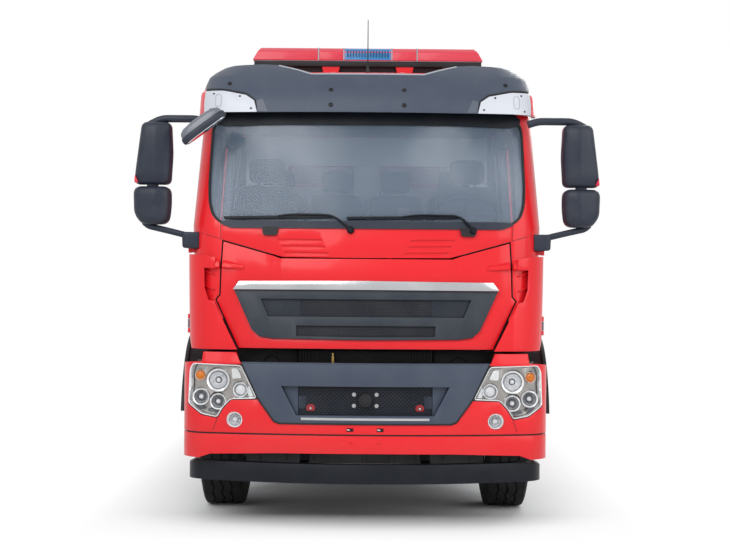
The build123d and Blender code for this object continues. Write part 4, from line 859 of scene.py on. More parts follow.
MAIN_LAMP = (0.950, 0.974, 0.076)
LOW_LAMPS = ((1.063, 0.864, 0.056), (0.950, 0.836, 0.054))
AMBER_LAMP = (1.068, 1.004, 0.036)
CLEAR_LAMP = (0.804, 0.914, 0.050)
FOG_LAMP = (0.838, 0.723, 0.050)
MAIN_BULB = [(0, 0.000), (0.008, -0.002), (0.013, -0.010), (0.014, -0.044), (0, -0.044)]
MAIN_SOCKET = [(0.015, -0.030), (0.023, -0.034), (0.025, -0.046), (0.015, -0.046)]
LOW_BULB = [(0, 0.004), (0.18, 0.001), (0.27, -0.008), (0.28, -0.034), (0, -0.034)]
LOW_SOCKET = [(0.30, -0.012), (0.42, -0.014), (0.44, -0.030), (0.30, -0.030)]
AMBER_DOME = [(0, 0.010), (0.014, 0.008), (0.025, 0.003), (0.030, -0.004), (0, -0.004)]
CLEAR_DOME = [(0, 0.004), (0.020, 0.002), (0.030, -0.004), (0.032, -0.008), (0, -0.008)]
FOG_BULB = [(0, -0.002), (0.010, -0.003), (0.016, -0.012), (0.016, -0.032), (0, -0.032)]
FOG_COVER = [(0, 0.008), (0.030, 0.006), (0.045, 0.002), (0.045, 0.0), (0.030, 0.003), (0, 0.005)]
LAMP_EDGE = [(0.699, 0.864), (0.803, 1.071), (1.117, 1.080), (1.140, 1.040), (1.149, 0.821), (1.055, 0.757),
             (0.956, 0.739), (0.922, 0.799), (0.867, 0.857)]
COVER_RIM = [(-0.004, -0.030), (-0.004, -0.001), (-0.002, 0.002), (0.002, 0.002), (0.004, -0.001),
             (0.004, -0.030)]
COVER_LOWER_SHADE = [(1.153, 0.818), (1.056, 0.751), (0.953, 0.733), (0.917, 0.796), (0.864, 0.852), (0.696, 0.858)]
BRIGHT_PANEL = [(0.800, 0.990), (0.862, 0.984), (0.866, 1.050), (0.828, 1.050)]
BRIGHT_FIN = [(0.722, 0.872), (0.752, 0.872), (0.772, 0.918), (0.752, 0.940)]
LOWER_LIPS = (((1.128, 0.826), (1.062, 0.782), (1.040, 0.790), (1.060, 0.802), (1.124, 0.846)),
              ((1.020, 0.776), (0.968, 0.760), (0.958, 0.776), (1.012, 0.792)))
LAMP_INNER = 0.78


def lamp_unit(name, side, lamp, deep, sunk, petals=16):
    """Bright collar around a lamp, its faceted reflector, open to the front, and a grey ring between."""
    x, z, radius = lamp
    place = Vector((side * x, BUMPER.depth(x, z) + sunk, z))
    collar = [(radius * LAMP_INNER, -0.006), (radius * (LAMP_INNER + 0.03), 0.006), (radius * 0.95, 0.013),
              (radius, 0.008), (radius, -0.012), (radius * (LAMP_INNER + 0.02), -0.012)]
    turned(name + "_collar", COLLAR, place, collar, 44, True)
    bowl = []
    for step in range(6):
        share = step / 5
        bowl.append((radius * (LAMP_INNER - 0.02 - (LAMP_INNER - 0.30) * share),
                     -0.006 - deep * (1 - (1 - share) ** 2)))
    end = bowl[-1][1]
    bowl += [(0, end), (0, end - 0.003), (radius * 0.32, end - 0.003), (radius * LAMP_INNER, -0.012)]
    turned(name, REFLECTOR, place, bowl, petals, smooth=12)
    ring = [(radius * (LAMP_INNER - 0.06), -0.012), (radius * (LAMP_INNER - 0.06), -0.008),
            (radius * (LAMP_INNER + 0.02), -0.007), (radius * (LAMP_INNER + 0.02), -0.012)]
    turned(name + "_ring", LAMP_GREY, place, ring, 44, True)
    return place


def headlamps():
    soften("headlamps", 0.004, [BEZEL])
    for side, tag in SIDES.items():
        place = lamp_unit("main_lamp_reflector_" + tag, side, MAIN_LAMP, 0.030, 0.022, 22)
        bulbs = bmesh.new()
        sockets = bmesh.new()
        lathe(bulbs, place, AHEAD, MAIN_BULB, 24)
        lathe(sockets, place, AHEAD, MAIN_SOCKET, 24, True)
        for index, lamp in enumerate(LOW_LAMPS):
            spot = lamp_unit(f"low_lamp_{index}_reflector_" + tag, side, lamp, 0.030, 0.022, 14)
            lathe(bulbs, spot, AHEAD, [(lamp[2] * share, along) for share, along in LOW_BULB], 28)
            lathe(sockets, spot, AHEAD, [(lamp[2] * share, along) for share, along in LOW_SOCKET], 28, True)
        put("lamp_bulbs_" + tag, bulbs, "chassis", FLUTED)
        put("lamp_sockets_" + tag, sockets, "chassis", LAMP_GREY)
        place = lamp_unit("amber_lamp_reflector_" + tag, side, AMBER_LAMP, 0.018, 0.022)
        turned("amber_lamp_lens_" + tag, AMBER_LENS, place, AMBER_DOME, 28)
        place = lamp_unit("clear_lamp_reflector_" + tag, side, CLEAR_LAMP, 0.018, 0.016)
        turned("clear_lamp_lens_" + tag, FLUTED, place, CLEAR_DOME, 28)
        with new("lamp_bright_panels_" + tag, COLLAR) as bm:
            plate_on(bm, BUMPER, filleted(spots(side, BRIGHT_PANEL), 0.012), -0.020, 0.014, 0.03)
            plate_on(bm, BUMPER, filleted(spots(side, BRIGHT_FIN), 0.008), -0.022, 0.012, 0.03)
        edge = filleted(spots(side, LAMP_EDGE), 0.018)
        strips("lamp_cover_rim_" + tag, COLLAR, BUMPER, [edge], COVER_RIM, True, 0.03)
        # Dark line under the lamp cover's lower and inner edges: painted shade below the cover.
        seam = spots(side, COVER_LOWER_SHADE)
        strips("lamp_cover_lower_shade_" + tag, RUBBER, BUMPER, [seam], flat(0.003, -0.01, 0.001), False, 0.03)
        lips = [spots(side, lip) for lip in LOWER_LIPS]
        plates("lamp_lower_lips_" + tag, LAMP_GREY, BUMPER, lips, -0.012, 0.012, 0.02)
        plates("lamp_cover_" + tag, CLEAR, BUMPER, [edge], -0.001, 0.003, 0.03)


def fog_lamps():
    for side, tag in SIDES.items():
        place = lamp_unit("fog_lamp_reflector_" + tag, side, FOG_LAMP, 0.030, 0.004)
        turned("fog_lamp_bulb_" + tag, FLUTED, place, FOG_BULB, 24)
        turned("fog_lamp_cover_" + tag, CLEAR, place, FOG_COVER, 32)


# Bumper and what shows through its gaps

HORN = [(0, 0.0), (0.045, 0.0), (0.062, 0.02), (0.064, 0.03), (0.055, 0.03), (0.03, 0.01), (0, 0.008)]
COUPLING_NUT = [(0, 0.006), (0.012, 0.006), (0.012, -0.03), (0.009, -0.05), (0, -0.05)]
COUPLING_PIPE = [(0, -0.03), (0.011, -0.03), (0.011, 0.015), (0.007, 0.018), (0.007, 0.035), (0, 0.035)]
SPLASH_WALLS = (((0.955, -3.838), (0.967, -3.450)), ((0.960, -3.838), (1.148, -3.826)),
                ((0.960, -3.462), (1.148, -3.450)))


def bumper_skin(bm):
    """Draws the necks in towards the cab and lets the ends fall to the rear."""
    for vert in bm.verts:
        place = vert.co
        if place.z > 1.15 and 0.79 < abs(place.x) < 0.81:
            place.x = math.copysign(0.834, place.x)
        elif 1.085 < place.z < 1.095 and abs(place.x) > 1.08:
            place.z -= 0.045 * min(max((place.y + 4.0) / 0.45, 0.0), 1.0)


def bumper_seams_and_crease_shade():
    soften("bumper", 0.007, [RED], shape=bumper_skin)
    with new("bumper_seams_and_crease_shade", RUBBER) as bm:
        # The black strip laid in the crease is painted shade that darkens the crease.
        crease = [Vector((x, 0.634)) for x in (-1.187, -1.10, 0.0, 1.10, 1.187)]
        strip_on(bm, BUMPER, crease, flat(0.0035, -0.009, -0.004))
        for seam in both(((0.950, 0.737), (0.982, 0.652))):
            strip_on(bm, BUMPER, seam, THIN_SEAM)
    with new("bumper_screws", RED) as bm:
        for side in SIDES:
            dome_screw(bm, BUMPER.at(side * 0.09, 0.585), BUMPER.out(side * 0.09, 0.585), 0.009)


def under_bumper_gear():
    """Cooler pack over the front cross member, air coupling, horns and splash panels."""
    with new("cooler_pack", BLACK_STEEL) as bm:
        block(bm, (-0.44, -3.800, 1.010), (0.44, -3.770, 1.160), 0.004)
        for index in range(44):
            x = -0.43 + 0.02 * index
            block(bm, (x - 0.003, -3.812, 1.016), (x + 0.003, -3.798, 1.154), 0)
        for side in SIDES:
            block(bm, (side * 0.445, -3.746, 0.940), (side * 0.90, -3.732, 1.166), 0.003)
    with new("air_coupling", BRASS) as bm:
        lathe(bm, (-0.215, -3.860, 1.075), AHEAD, COUPLING_NUT, 6)
        lathe(bm, (-0.215, -3.860, 1.110), (0, 0, 1), COUPLING_PIPE, 12)
    with new("horns", BLACK) as bm:
        for side in SIDES:
            lathe(bm, (side * 0.62, -3.72, 1.06), AHEAD, HORN, 26)
            line = [Vector((side * 0.62, -3.73, 1.06)), Vector((side * 0.62, -3.64, 1.06)),
                    Vector((side * 0.45, -3.62, 0.98))]
            tube(bm, bent(line, 0.05), 0.012)
    with new("splash_panels", BLACK_STEEL) as bm:
        block(bm, (-0.80, -3.560, 0.385), (0.80, -3.545, 0.745), 0.004)
        for index in range(9):
            x = -0.72 + 0.18 * index
            block(bm, (x - 0.012, -3.572, 0.400), (x + 0.012, -3.556, 0.735), 0.003)
        for side in SIDES:
            for (x0, y0), (x1, y1) in SPLASH_WALLS:
                block(bm, (side * x0, y0, 0.520), (side * x1, y1, 1.075), 0.003)


# Visor, warning bar and mirrors

VISOR_SLIT_SHADE = [(0.728, 2.724), (0.740, 2.803), (0.797, 2.846), (0.950, 2.879), (1.072, 2.889)]
VISOR_PATCH = [(0.720, 2.726), (0.731, 2.800), (0.690, 2.812), (0.652, 2.726)]
VISOR_LIP_HIGHLIGHT = [(-0.596, 3.060), (-0.47, 3.024), (-0.372, 2.990), (0.372, 2.990), (0.47, 3.024), (0.596, 3.060)]
PLATE_RING = [(-0.003, -0.002), (-0.002, 0.002), (0.002, 0.002), (0.003, -0.002)]
PLATE_LIFT = 0.012
BAR_FRONT = -3.290
BAR_PROFILE = ((-3.288, 3.144), (-3.281, 3.206), (-3.240, 3.236), (-3.060, 3.236), (-3.019, 3.206),
               (-3.012, 3.144))
BAR_OUT = ((-1, 0.1), (-1, 0.4), (-0.4, 1), (0.4, 1), (1, 0.4), (1, 0.1))
BAR_FOOT = ((-0.062, 3.104), (0.062, 3.104), (0.044, 3.030), (-0.044, 3.030))


def visor_finish(place, normal):
    """1 on the raised corner plates, 2 on the visor's ends, 0 on the rest."""
    proud = (VISOR.depth(place.x, place.z) - place.y) * -VISOR.out(place.x, place.z).y
    if place.z < 2.9 and abs(place.x) > 1.085:
        return 2
    return 1 if place.z < 2.9 and proud > 0.003 else 0


def sun_visor():
    soften("sun_visor", 0.004, [DARK, WHITE, RED], by_face=visor_finish)
    with new("visor_screws", BLACK) as bm:
        for side in SIDES:
            for x, z in ((0.240, 2.873), (0.240, 2.770), (0.915, 2.924)):
                dome_screw(bm, VISOR.at(side * x, z), VISOR.out(side * x, z), 0.015)
            for x, z in ((1.010, 2.848), (0.838, 2.826), (0.762, 2.742), (1.030, 2.742)):
                dome_screw(bm, VISOR.at(side * x, z, PLATE_LIFT), VISOR.out(side * x, z), 0.007)
    # Dark strip above each white plate: painted shade of the slit between plate and visor.
    strips("visor_plate_slit_shades", RUBBER, VISOR, both(VISOR_SLIT_SHADE), flat(0.006, -0.004, 0.005))
    plates("visor_corner_patches", PATCH_GREY, VISOR, both(VISOR_PATCH), 0.002, 0.004)
    with new("visor_plate_rings", PALE_GREY) as bm:
        for side in SIDES:
            stadium = []
            for step in range(16):
                angle = 2 * math.pi * step / 16
                drop = 0.024 if math.sin(angle) > 0 else -0.024
                stadium.append(Vector((side * 0.978 + 0.019 * math.cos(angle),
                                       2.799 + drop + 0.019 * math.sin(angle))))
            line = stepped(stadium, 0.02)
            sweep(bm, [VISOR.at(p.x, p.y, PLATE_LIFT) for p in line], [VISOR.out(p.x, p.y) for p in line],
                  PLATE_RING, True)
    # Pale strip along the visor's top edge: painted highlight where the top catches the sky.
    strips("visor_top_lip_painted_highlight", PALE_GREY, VISOR, [spots(1, VISOR_LIP_HIGHLIGHT)], flat(0.007, -0.016, 0.003))


def warning_bar():
    soften("light_bar_base", 0.004, [BLACK])
    soften("light_bar_lenses", 0.006, [RED_LENS, BLUE_LENS], lambda low, high: int(low.x * high.x < 0), 3)
    with new("blue_lens_slats", BLUE_SLAT) as bm:
        for index in range(15):
            x = -0.140 + 0.02 * index
            rings = []
            for z in (3.168, 3.186, 3.204, 3.220):
                slope = 0.008 * (z - 3.144) / 0.062 if z < 3.206 else 0.008 + 0.042 * (z - 3.206) / 0.030
                y = BAR_FRONT + slope
                slat = ((-0.0055, 0.004), (0.0055, 0.004), (0.0055, -0.002), (-0.0055, -0.002))
                rings.append([(x + u, y + v, z) for u, v in slat])
            bridge(bm, rings)
    with new("warning_bar_joints", PALE_GREY) as bm:
        for side in SIDES:
            for x in (0.1665, 0.342):
                path = [Vector((side * x, y, z)) for y, z in BAR_PROFILE]
                outs = [Vector((0, y, z)).normalized() for y, z in BAR_OUT]
                sweep(bm, path, outs, flat(0.004, -0.004, 0.003))
        block(bm, (-0.788, -3.284, 3.1405), (0.788, -3.276, 3.1465), 0.001)
    for side, tag in SIDES.items():
        with new("warning_bar_foot_" + tag, RED) as bm:
            corners = [Vector((side * 0.256 + u, -3.262, z)) for u, z in BAR_FOOT]
            bridge(bm, [[p + Vector((0, shift, 0)) for p in corners] for shift in (-0.010, 0.020)])
        with new("warning_bar_bracket_" + tag, WHITE) as bm:
            block(bm, (side * 0.240 - 0.017, -3.288, 3.030), (side * 0.240 + 0.017, -3.271, 3.064), 0.003)


def shell(bm, points, front, back, edge, ridge, crown):
    """Housing on a front outline: domed to the front with a soft ridge line, flat at the back."""
    middle = sum(points, Vector((0, 0))) / len(points)
    wide = max(abs(p.x - middle.x) for p in points)
    rings = []
    for share in (0.02, 0.3, 0.55, 0.75, 0.88, 0.95, 0.985, 1.0):
        ring = []
        for point in points:
            p = middle + (point - middle) * share
            y = front + edge * (1 - math.sqrt(1 - share ** 8)) + crown * abs(p.x - ridge) / wide
            ring.append((p.x, y, p.y))
        rings.append(ring)
    for share, y in ((1.0, back - 0.012), (0.985, back - 0.003), (0.95, back)):
        rings.append([(q.x, y, q.y) for q in (middle + (p - middle) * share for p in points)])
    bridge(bm, rings)


UPPER_HEAD = [(1.296, 2.246), (1.536, 2.246), (1.528, 2.34), (1.486, 2.658), (1.294, 2.658), (1.284, 2.45)]
LOWER_HEAD = [(1.308, 1.984), (1.480, 1.980), (1.536, 2.050), (1.542, 2.234), (1.294, 2.234), (1.292, 2.100)]
UPPER_ARM = ((1.06, 2.660), (1.13, 2.682), (1.36, 2.682), (1.44, 2.640))
LOWER_ARM = ((1.47, 2.000), (1.44, 1.972), (1.30, 1.940), (1.17, 1.908))
MIRROR_BRACKET = [(1.098, 1.820), (1.214, 1.830), (1.218, 1.936), (1.098, 1.934)]
MIRROR_MARKER = [(1.500, 2.254), (1.531, 2.254), (1.526, 2.312)]


def mirrors():
    """Two heads a side on bent arms; the marker sits at the upper head's outer foot."""
    first = None
    for side, tag in SIDES.items():
        bm = bmesh.new()
        for outline, radius in ((UPPER_HEAD, 0.040), (LOWER_HEAD, 0.055)):
            rim = filleted(spots(side, outline), radius, 7)
            shell(bm, stepped(rim, 0.03), -3.885, -3.735, 0.050, side * 1.395, 0.034)
        block(bm, (side * 1.38, -3.83, 2.215), (side * 1.45, -3.76, 2.265), 0.01)
        for line, y, turn, radius in ((UPPER_ARM, -3.795, 0.06, 0.025), (LOWER_ARM, -3.797, 0.04, 0.021)):
            arm = [Vector((side * x, y, z)) for x, z in line]
            tube(bm, stepped(bent(arm, turn), 0.03, False), radius, 14)
        piece = put("mirror_heads_and_arms_" + tag, bm, "chassis", SHELL)
        first = first or piece
        with new("mirror_bracket_" + tag, SHELL) as bm:
            bracket = stepped(filleted(spots(side, MIRROR_BRACKET), 0.018), 0.03)
            shell(bm, bracket, -3.832, -3.765, 0.016, side * 1.17, 0.004)
        with new("mirror_marker_" + tag, RED_LENS) as bm:
            shell(bm, filleted(spots(side, MIRROR_MARKER), 0.014), -3.862, -3.800, 0.012, side * 1.52, 0.010)
    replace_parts(first, "side_mirrors")
    kerb_mirror()


KERB_PLACE = Matrix.Translation((-1.072, -4.030, 2.626)) @ Matrix.Rotation(math.radians(-37), 4, "Y")
KERB_RIM = [(0.150, 0.052, -0.050), (0.163, 0.060, -0.047), (0.168, 0.062, -0.034), (0.166, 0.061, -0.012),
            (0.158, 0.057, -0.006)]
KERB_DOME = [(0.157, 0.056, -0.012), (0.156, 0.055, 0.006), (0.146, 0.050, 0.026), (0.120, 0.040, 0.040),
             (0.070, 0.024, 0.047), (0.010, 0.004, 0.049)]
KERB_GLASS = [(0.149, 0.051, -0.0535), (0.149, 0.051, -0.0495)]
KERB_ARM = ((-1.075, -4.000, 2.650), (-1.060, -3.850, 2.700), (-1.030, -3.770, 2.690))


def oval(bm, levels):
    """Rounded oval of the look-down mirror, from (length, depth, height) levels."""
    rings = []
    for long, deep, height in levels:
        ring = []
        for k in range(48):
            c, s = math.cos(2 * math.pi * k / 48), math.sin(2 * math.pi * k / 48)
            ring.append(KERB_PLACE @ Vector((long * math.copysign(abs(c) ** 0.75, c),
                                             deep * math.copysign(abs(s) ** 0.75, s), height)))
        rings.append(ring)
    bridge(bm, rings)


def kerb_mirror():
    """Look-down mirror: a domed oval shell with a dark rim, its dome paler as a painted highlight, its glass
    underneath, on a bent arm.
    """
    with new("kerb_mirror_rim_and_arm", SHELL) as bm:
        oval(bm, KERB_RIM)
        tube(bm, stepped(bent([Vector(p) for p in KERB_ARM], 0.06), 0.03, False), 0.014, 12)
    with new("kerb_mirror_dome", DOME_PAINTED_HIGHLIGHT) as bm:
        oval(bm, KERB_DOME)
    with new("kerb_mirror_glass", MIRROR) as bm:
        oval(bm, KERB_GLASS)


# Wheels

FRONT_AXLE = Vector((0, -2.750, 0.530))
REAR_AXLE = Vector((0, 1.950, 0.530))
TYRE_STEPS = 144
TYRE_SIDE = [(0.1135, 0.2868), (0.124, 0.300), (0.141, 0.338), (0.152, 0.376), (0.156, 0.408),
             (0.1545, 0.434), (0.157, 0.439), (0.1535, 0.445), (0.147, 0.484), (0.140, 0.508)]
GROOVE = ((-0.0065, 0.5298), (-0.004, 0.517), (0.004, 0.517), (0.0065, 0.5298))
STUD = [(0, 0.01), (0.009, 0.01), (0.009, 0.032), (0.006, 0.036), (0, 0.036)]
AXLES = (("tyre_front_", "rim_front_", FRONT_AXLE, (1.0,), "wheel_front_", 1.066, 1.124),
         ("tyres_rear_", "rim_rear_", REAR_AXLE, (0.755, 1.095), "wheels_rear_", 0.941, 1.063))


def tyre(bm, centre):
    """Road tyre about the X axis with three zigzag grooves and notched shoulders."""
    rings = []
    for k in range(TYRE_STEPS):
        zigzag = 0.005 * (abs((k % 6) - 3) - 1.5)
        notch = 0.007 if k % 4 == 0 else 0.0
        half = TYRE_SIDE + [(0.133, 0.522 - notch), (0.126, 0.5285 - notch * 0.5)]
        tread = [(middle + x + zigzag, r) for middle in (-0.064, 0.0, 0.064) for x, r in GROOVE]
        profile = [(-x, r) for x, r in half] + tread + half[::-1]
        angle = 2 * math.pi * k / TYRE_STEPS
        turn = Vector((0, math.cos(angle), math.sin(angle)))
        rings.append([centre + Vector((x, 0, 0)) + turn * r for x, r in profile])
    bridge(bm, rings, closed=True)


def wheels():
    for side, tag in SIDES.items():
        for node, rim, axle, tracks, body, disc, cap in AXLES:
            bm = bmesh.new()
            for track in tracks:
                tyre(bm, axle + Vector((side * track, 0, 0)))
            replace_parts(put(node + tag + "_treaded", bm, body + tag, TYRE), node + tag)
            soften(rim + tag, 0.003, [WHEEL_PAINT])
            out = Vector((side, 0, 0))
            face = axle + Vector((side * disc, 0, 0))
            hub = axle + Vector((side * (cap - 0.003), 0, 0))
            with new(rim + tag + "_nuts", STEEL, body + tag) as bm:
                for k in range(10):
                    angle = 2 * math.pi * (k + 0.5) / 10
                    spoke = Vector((0, math.cos(angle), math.sin(angle)))
                    hex_bolt(bm, face + spoke * 0.150, out, 0.015)
                    lathe(bm, face + spoke * 0.150, out, STUD, 10)
                    if k % 2:
                        hex_bolt(bm, hub + spoke * 0.068, out, 0.007)


# Cab sides and doors: points as (y, z)

WINDOWS = {"front": [(-3.641, 1.958), (-2.800, 1.958), (-2.800, 2.660), (-3.491, 2.660)],
           "rear": [(-2.475, 1.958), (-1.670, 1.958), (-1.670, 2.660), (-2.495, 2.660)]}
QUARTER = [(-1.440, 1.978), (-1.200, 1.978), (-1.200, 2.660), (-1.440, 2.660)]
GASKET = [(-0.012, -0.008), (-0.010, 0.002), (0.0, 0.005), (0.010, 0.002), (0.012, -0.008)]
DOOR_ENDS = {"front": (-3.66, -2.70), "rear": (-2.50, -1.57)}
GRIP = ((-0.092, 0.0), (-0.092, 0.024), (0.092, 0.024), (0.092, 0.0))
DOOR_LOCK = [(0, 0.006), (0.010, 0.006), (0.012, 0.0), (0, 0.0)]
RAIL_LOW, RAIL_HIGH, RAIL_OUT = 1.380, 1.930, 0.045


def side_at(side, y, z, lift=0.0):
    return Vector((side * (cab_side_x(z) + lift), y, z))


def side_gasket(bm, side, points):
    line = stepped(filleted([Vector(p) for p in points], 0.05), 0.06)
    out = Vector((side, 0, 0.07)).normalized()
    sweep(bm, [side_at(side, p.x, p.y) for p in line], [out] * len(line), GASKET, True)


def side_pad(bm, side, points, low, high):
    """Flat raised pad on the cab's side."""
    bridge(bm, [[side_at(side, p.x, p.y, lift) for p in points] for lift in (low, high)])


def doors():
    for side, tag in SIDES.items():
        for row, (front, rear) in DOOR_ENDS.items():
            body = f"door_{row}_{tag}"
            soften(body, 0.004, [RED, TRIM_GREY], by_face=door_lining)
            with new(f"window_gasket_{row}_{tag}", RUBBER, body) as bm:
                side_gasket(bm, side, WINDOWS[row])
            with new(f"door_handle_{row}_{tag}", BLACK, body) as bm:
                y = rear - 0.15
                cup = panel(y - 0.115, 1.615 - 0.050, y + 0.115, 1.615 + 0.050)
                side_pad(bm, side, filleted(cup, 0.03), -0.004, 0.003)
                tube(bm, bent([side_at(side, y + u, 1.622, lift) for u, lift in GRIP], 0.02), 0.010, 12)
                lathe(bm, side_at(side, y + 0.05, 1.580), (side, 0, 0), DOOR_LOCK, 16)
            with new(f"door_rub_strip_{row}_{tag}", BLACK, body) as bm:
                side_pad(bm, side, filleted(panel(front, 1.330, rear - 0.02, 1.372), 0.010), -0.004, 0.006)
        with new("quarter_gasket_" + tag, RUBBER) as bm:
            side_gasket(bm, side, QUARTER)
        with new("grab_rails_" + tag, STEEL) as bm:
            for y in (-2.632, -1.505):
                rail = [side_at(side, y, RAIL_LOW), side_at(side, y, RAIL_LOW, RAIL_OUT),
                        side_at(side, y, RAIL_HIGH, RAIL_OUT), side_at(side, y, RAIL_HIGH)]
                tube(bm, bent(rail, 0.03), 0.013, 12)


# Cab interior

def pillow(bm, place, size, tilt, channels=0, crown=0.10):
    """Stuffed pad: a rounded block, crowned on top, with sewn channels across its width."""
    own = bmesh.new()
    bmesh.ops.create_cube(own, size=2.0)
    bmesh.ops.subdivide_edges(own, edges=own.edges[:], cuts=13, use_grid_fill=True)
    turn = Matrix.Rotation(math.radians(tilt), 4, "X")
    half = Vector(size) / 2
    for vert in own.verts:
        p = vert.co.copy()
        norm = sum(abs(c) ** 5 for c in p) ** 0.2
        p *= max(abs(c) for c in p) / norm
        bulge = (1 - p.x ** 2) * (1 - p.y ** 2)
        if p.z > 0:
            p.z *= 1 + crown * bulge
            for channel in range(1, channels + 1):
                seam = -1 + 2 * channel / (channels + 1)
                p.z -= 0.22 * math.exp(-((p.x - seam) / 0.07) ** 2) * p.z * (1 - p.y ** 4)
        p.y *= 1 - 0.04 * (1 - p.x ** 2)
        vert.co = Vector(place) + turn @ Vector((p.x * half.x, p.y * half.y, p.z * half.z))
    pad = bpy.data.meshes.new("pad")
    own.to_mesh(pad)
    own.free()
    bm.from_mesh(pad)
    bpy.data.meshes.remove(pad)


SEWN_SMOOTH = 60


def seat(name, x, front, width, head):
    """Cushion, backrest and head pad of one place, on a plain base."""
    bm = bmesh.new()
    pillow(bm, (x, front + 0.225, 1.695), (width, 0.50, 0.135), -4, 2)
    pillow(bm, (x, front + 0.505, 2.030), (width, 0.60, 0.115), -99, 2)
    put(name + "_cushions", bm, "chassis", SEAT_CLOTH, SEWN_SMOOTH)
    bm = bmesh.new()
    pillow(bm, (x, front + head, 2.425), (0.26, 0.19, 0.085), -98, crown=0.2)
    put(name + "_head_pad", bm, "chassis", SEAT_EDGE, SEWN_SMOOTH)
    bm = bmesh.new()
    block(bm, (x - width * 0.42, front + 0.02, 1.281), (x + width * 0.42, front + 0.47, 1.640), 0.02)
    for post in (x - 0.06, x + 0.06):
        foot, top = Vector((post, front + head - 0.01, 2.28)), Vector((post, front + head + 0.005, 2.40))
        tube(bm, [foot, top], 0.006)
    return put(name + "_base", bm, "chassis", TRIM_GREY)


REAR_LINING = (-1.1145, -1.1105)
BODY_SHEET = (-0.885, -0.879)


def interior():
    first = seat("front_seat_0", -0.745, -3.060, 0.468, 0.575)
    seat("front_seat_1", 0.745, -3.060, 0.468, 0.575)
    for index, x in enumerate((-0.72, -0.24, 0.24, 0.72)):
        seat(f"rear_seat_{index}", x, -1.720, 0.462, 0.556)
    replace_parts(first, "seats")
    soften("dashboard", 0.02, [TRIM_GREY], segments=3)
    with new("dash_binnacle_and_vents", BLACK) as bm:
        block(bm, (0.45, -3.56, 1.955), (0.93, -3.40, 2.035), 0.025)
        block(bm, (-0.20, -3.62, 1.960), (0.20, -3.45, 1.985), 0.012)
        for x in (-0.85, -0.45, 0.28, 0.97):
            block(bm, (x - 0.06, -3.345, 1.815), (x + 0.06, -3.325, 1.865), 0.006)
    with new("dash_screen", BLACK) as bm:
        block(bm, (0.205, -3.66, 1.972), (0.285, -3.635, 2.110), 0.008)
        tube(bm, [Vector((0.245, -3.648, 1.96)), Vector((0.245, -3.648, 1.99))], 0.012)
    soften("steering_wheel", 0.006, [BLACK], limit=25)
    with new("rear_wall_lining", LINER) as bm:
        for x0, x1, low, high in ((-1.00, 1.00, 1.290, 2.078), (-1.00, 1.00, 2.562, 2.80),
                                  (-1.00, -0.652, 2.079, 2.561), (-0.108, 0.108, 2.079, 2.561),
                                  (0.652, 1.00, 2.079, 2.561)):
            block(bm, (x0, REAR_LINING[0], low), (x1, REAR_LINING[1], high), 0.001)
    with new("roof_lining", LINER) as bm:
        block(bm, (-0.90, -3.55, 2.925), (0.90, -1.16, 2.950), 0.01)
    # White sheets on the body's front wall, seen through the cab's rear windows: painted light for the
    # bright view through them.
    with new("body_front_painted_light_sheets", WHITE) as bm:
        for low, high in ((1.25, 2.395), (2.435, 2.64)):
            block(bm, (-1.10, BODY_SHEET[0], low), (1.10, BODY_SHEET[1], high), 0.002)
            for x in (-1.08, -0.54, 0.0, 0.54, 1.08):
                dome_screw(bm, Vector((x, BODY_SHEET[0], high - 0.03)), AHEAD, 0.006)


# Locker body

BAYS = [(-0.790, 0.760), (0.880, 2.560), (2.680, 3.830)]
BODY_SIDE = 1.250
FRAME_WIDTH = 0.028
BAR_HEIGHT = 1.243
LATCH = [(0, -0.002), (0.045, -0.002), (0.045, 0.003), (0.034, 0.005), (0.030, 0.001), (0, 0.001)]
WORK_LENS = [(0, 0.004), (0.008, 0.003), (0.013, 0.0), (0, -0.001)]
REAR_LENSES = ((RED_LENS, 0.775, 0.915, "tail"), (AMBER_LENS, 0.925, 1.055, "turn"),
               (FLUTED, 1.065, 1.120, "reverse"), (RED_LENS, 1.130, 1.185, "brake"))


def frame_bars(start, end):
    """Opposite corners of the four bars around a shutter."""
    before, after = start - FRAME_WIDTH, end + FRAME_WIDTH
    return (((before, 1.162), (after, 1.190)), ((before, 2.760), (after, 2.788)),
            ((before, 1.190), (start, 2.760)), ((end, 1.190), (after, 2.760)))


def shutter_gear():
    for side, tag in SIDES.items():
        out = Vector((side, 0, 0))
        with new("shutter_frames_and_bars_" + tag, STEEL) as bm:
            for start, end in BAYS:
                inner, outer = side * (BODY_SIDE - 0.002), side * (BODY_SIDE + 0.004)
                for low, high in frame_bars(start, end):
                    block(bm, (inner, *low), (outer, *high), 0.0015)
                first, last = start + 0.10, end - 0.10
                ends = ((1.232, first), (1.262, first), (1.262, last), (1.232, last))
                tube(bm, bent([Vector((side * x, y, BAR_HEIGHT)) for x, y in ends], 0.02), 0.011, 12)
        with new("shutter_locks_" + tag, BLACK) as bm:
            for start, end in BAYS:
                middle = 0.5 * (start + end)
                for y in (start + 0.05, end - 0.05):
                    dome_screw(bm, Vector((side * 1.2545, y, 1.176)), out, 0.006)
                block(bm, (side * 1.2365, middle - 0.10, 1.262), (side * 1.246, middle + 0.10, 1.300), 0.003)
        with new("locker_latches_" + tag, BLACK) as bm:
            for start, end in ((-0.090, 1.185), (2.715, 3.860)):
                for y in (start + 0.14, end - 0.14):
                    lathe(bm, (side * 1.2505, y, 1.010), out, LATCH, 28)
                    block(bm, (side * 1.251, y - 0.026, 1.002), (side * 1.262, y + 0.026, 1.018), 0.003)
        with new("side_markers_" + tag, AMBER_LENS) as bm:
            for y in (-0.60, 0.40, 1.05, 2.85, 3.70):
                block(bm, (side * 1.249, y - 0.045, 1.115), (side * 1.257, y + 0.045, 1.148), 0.003)


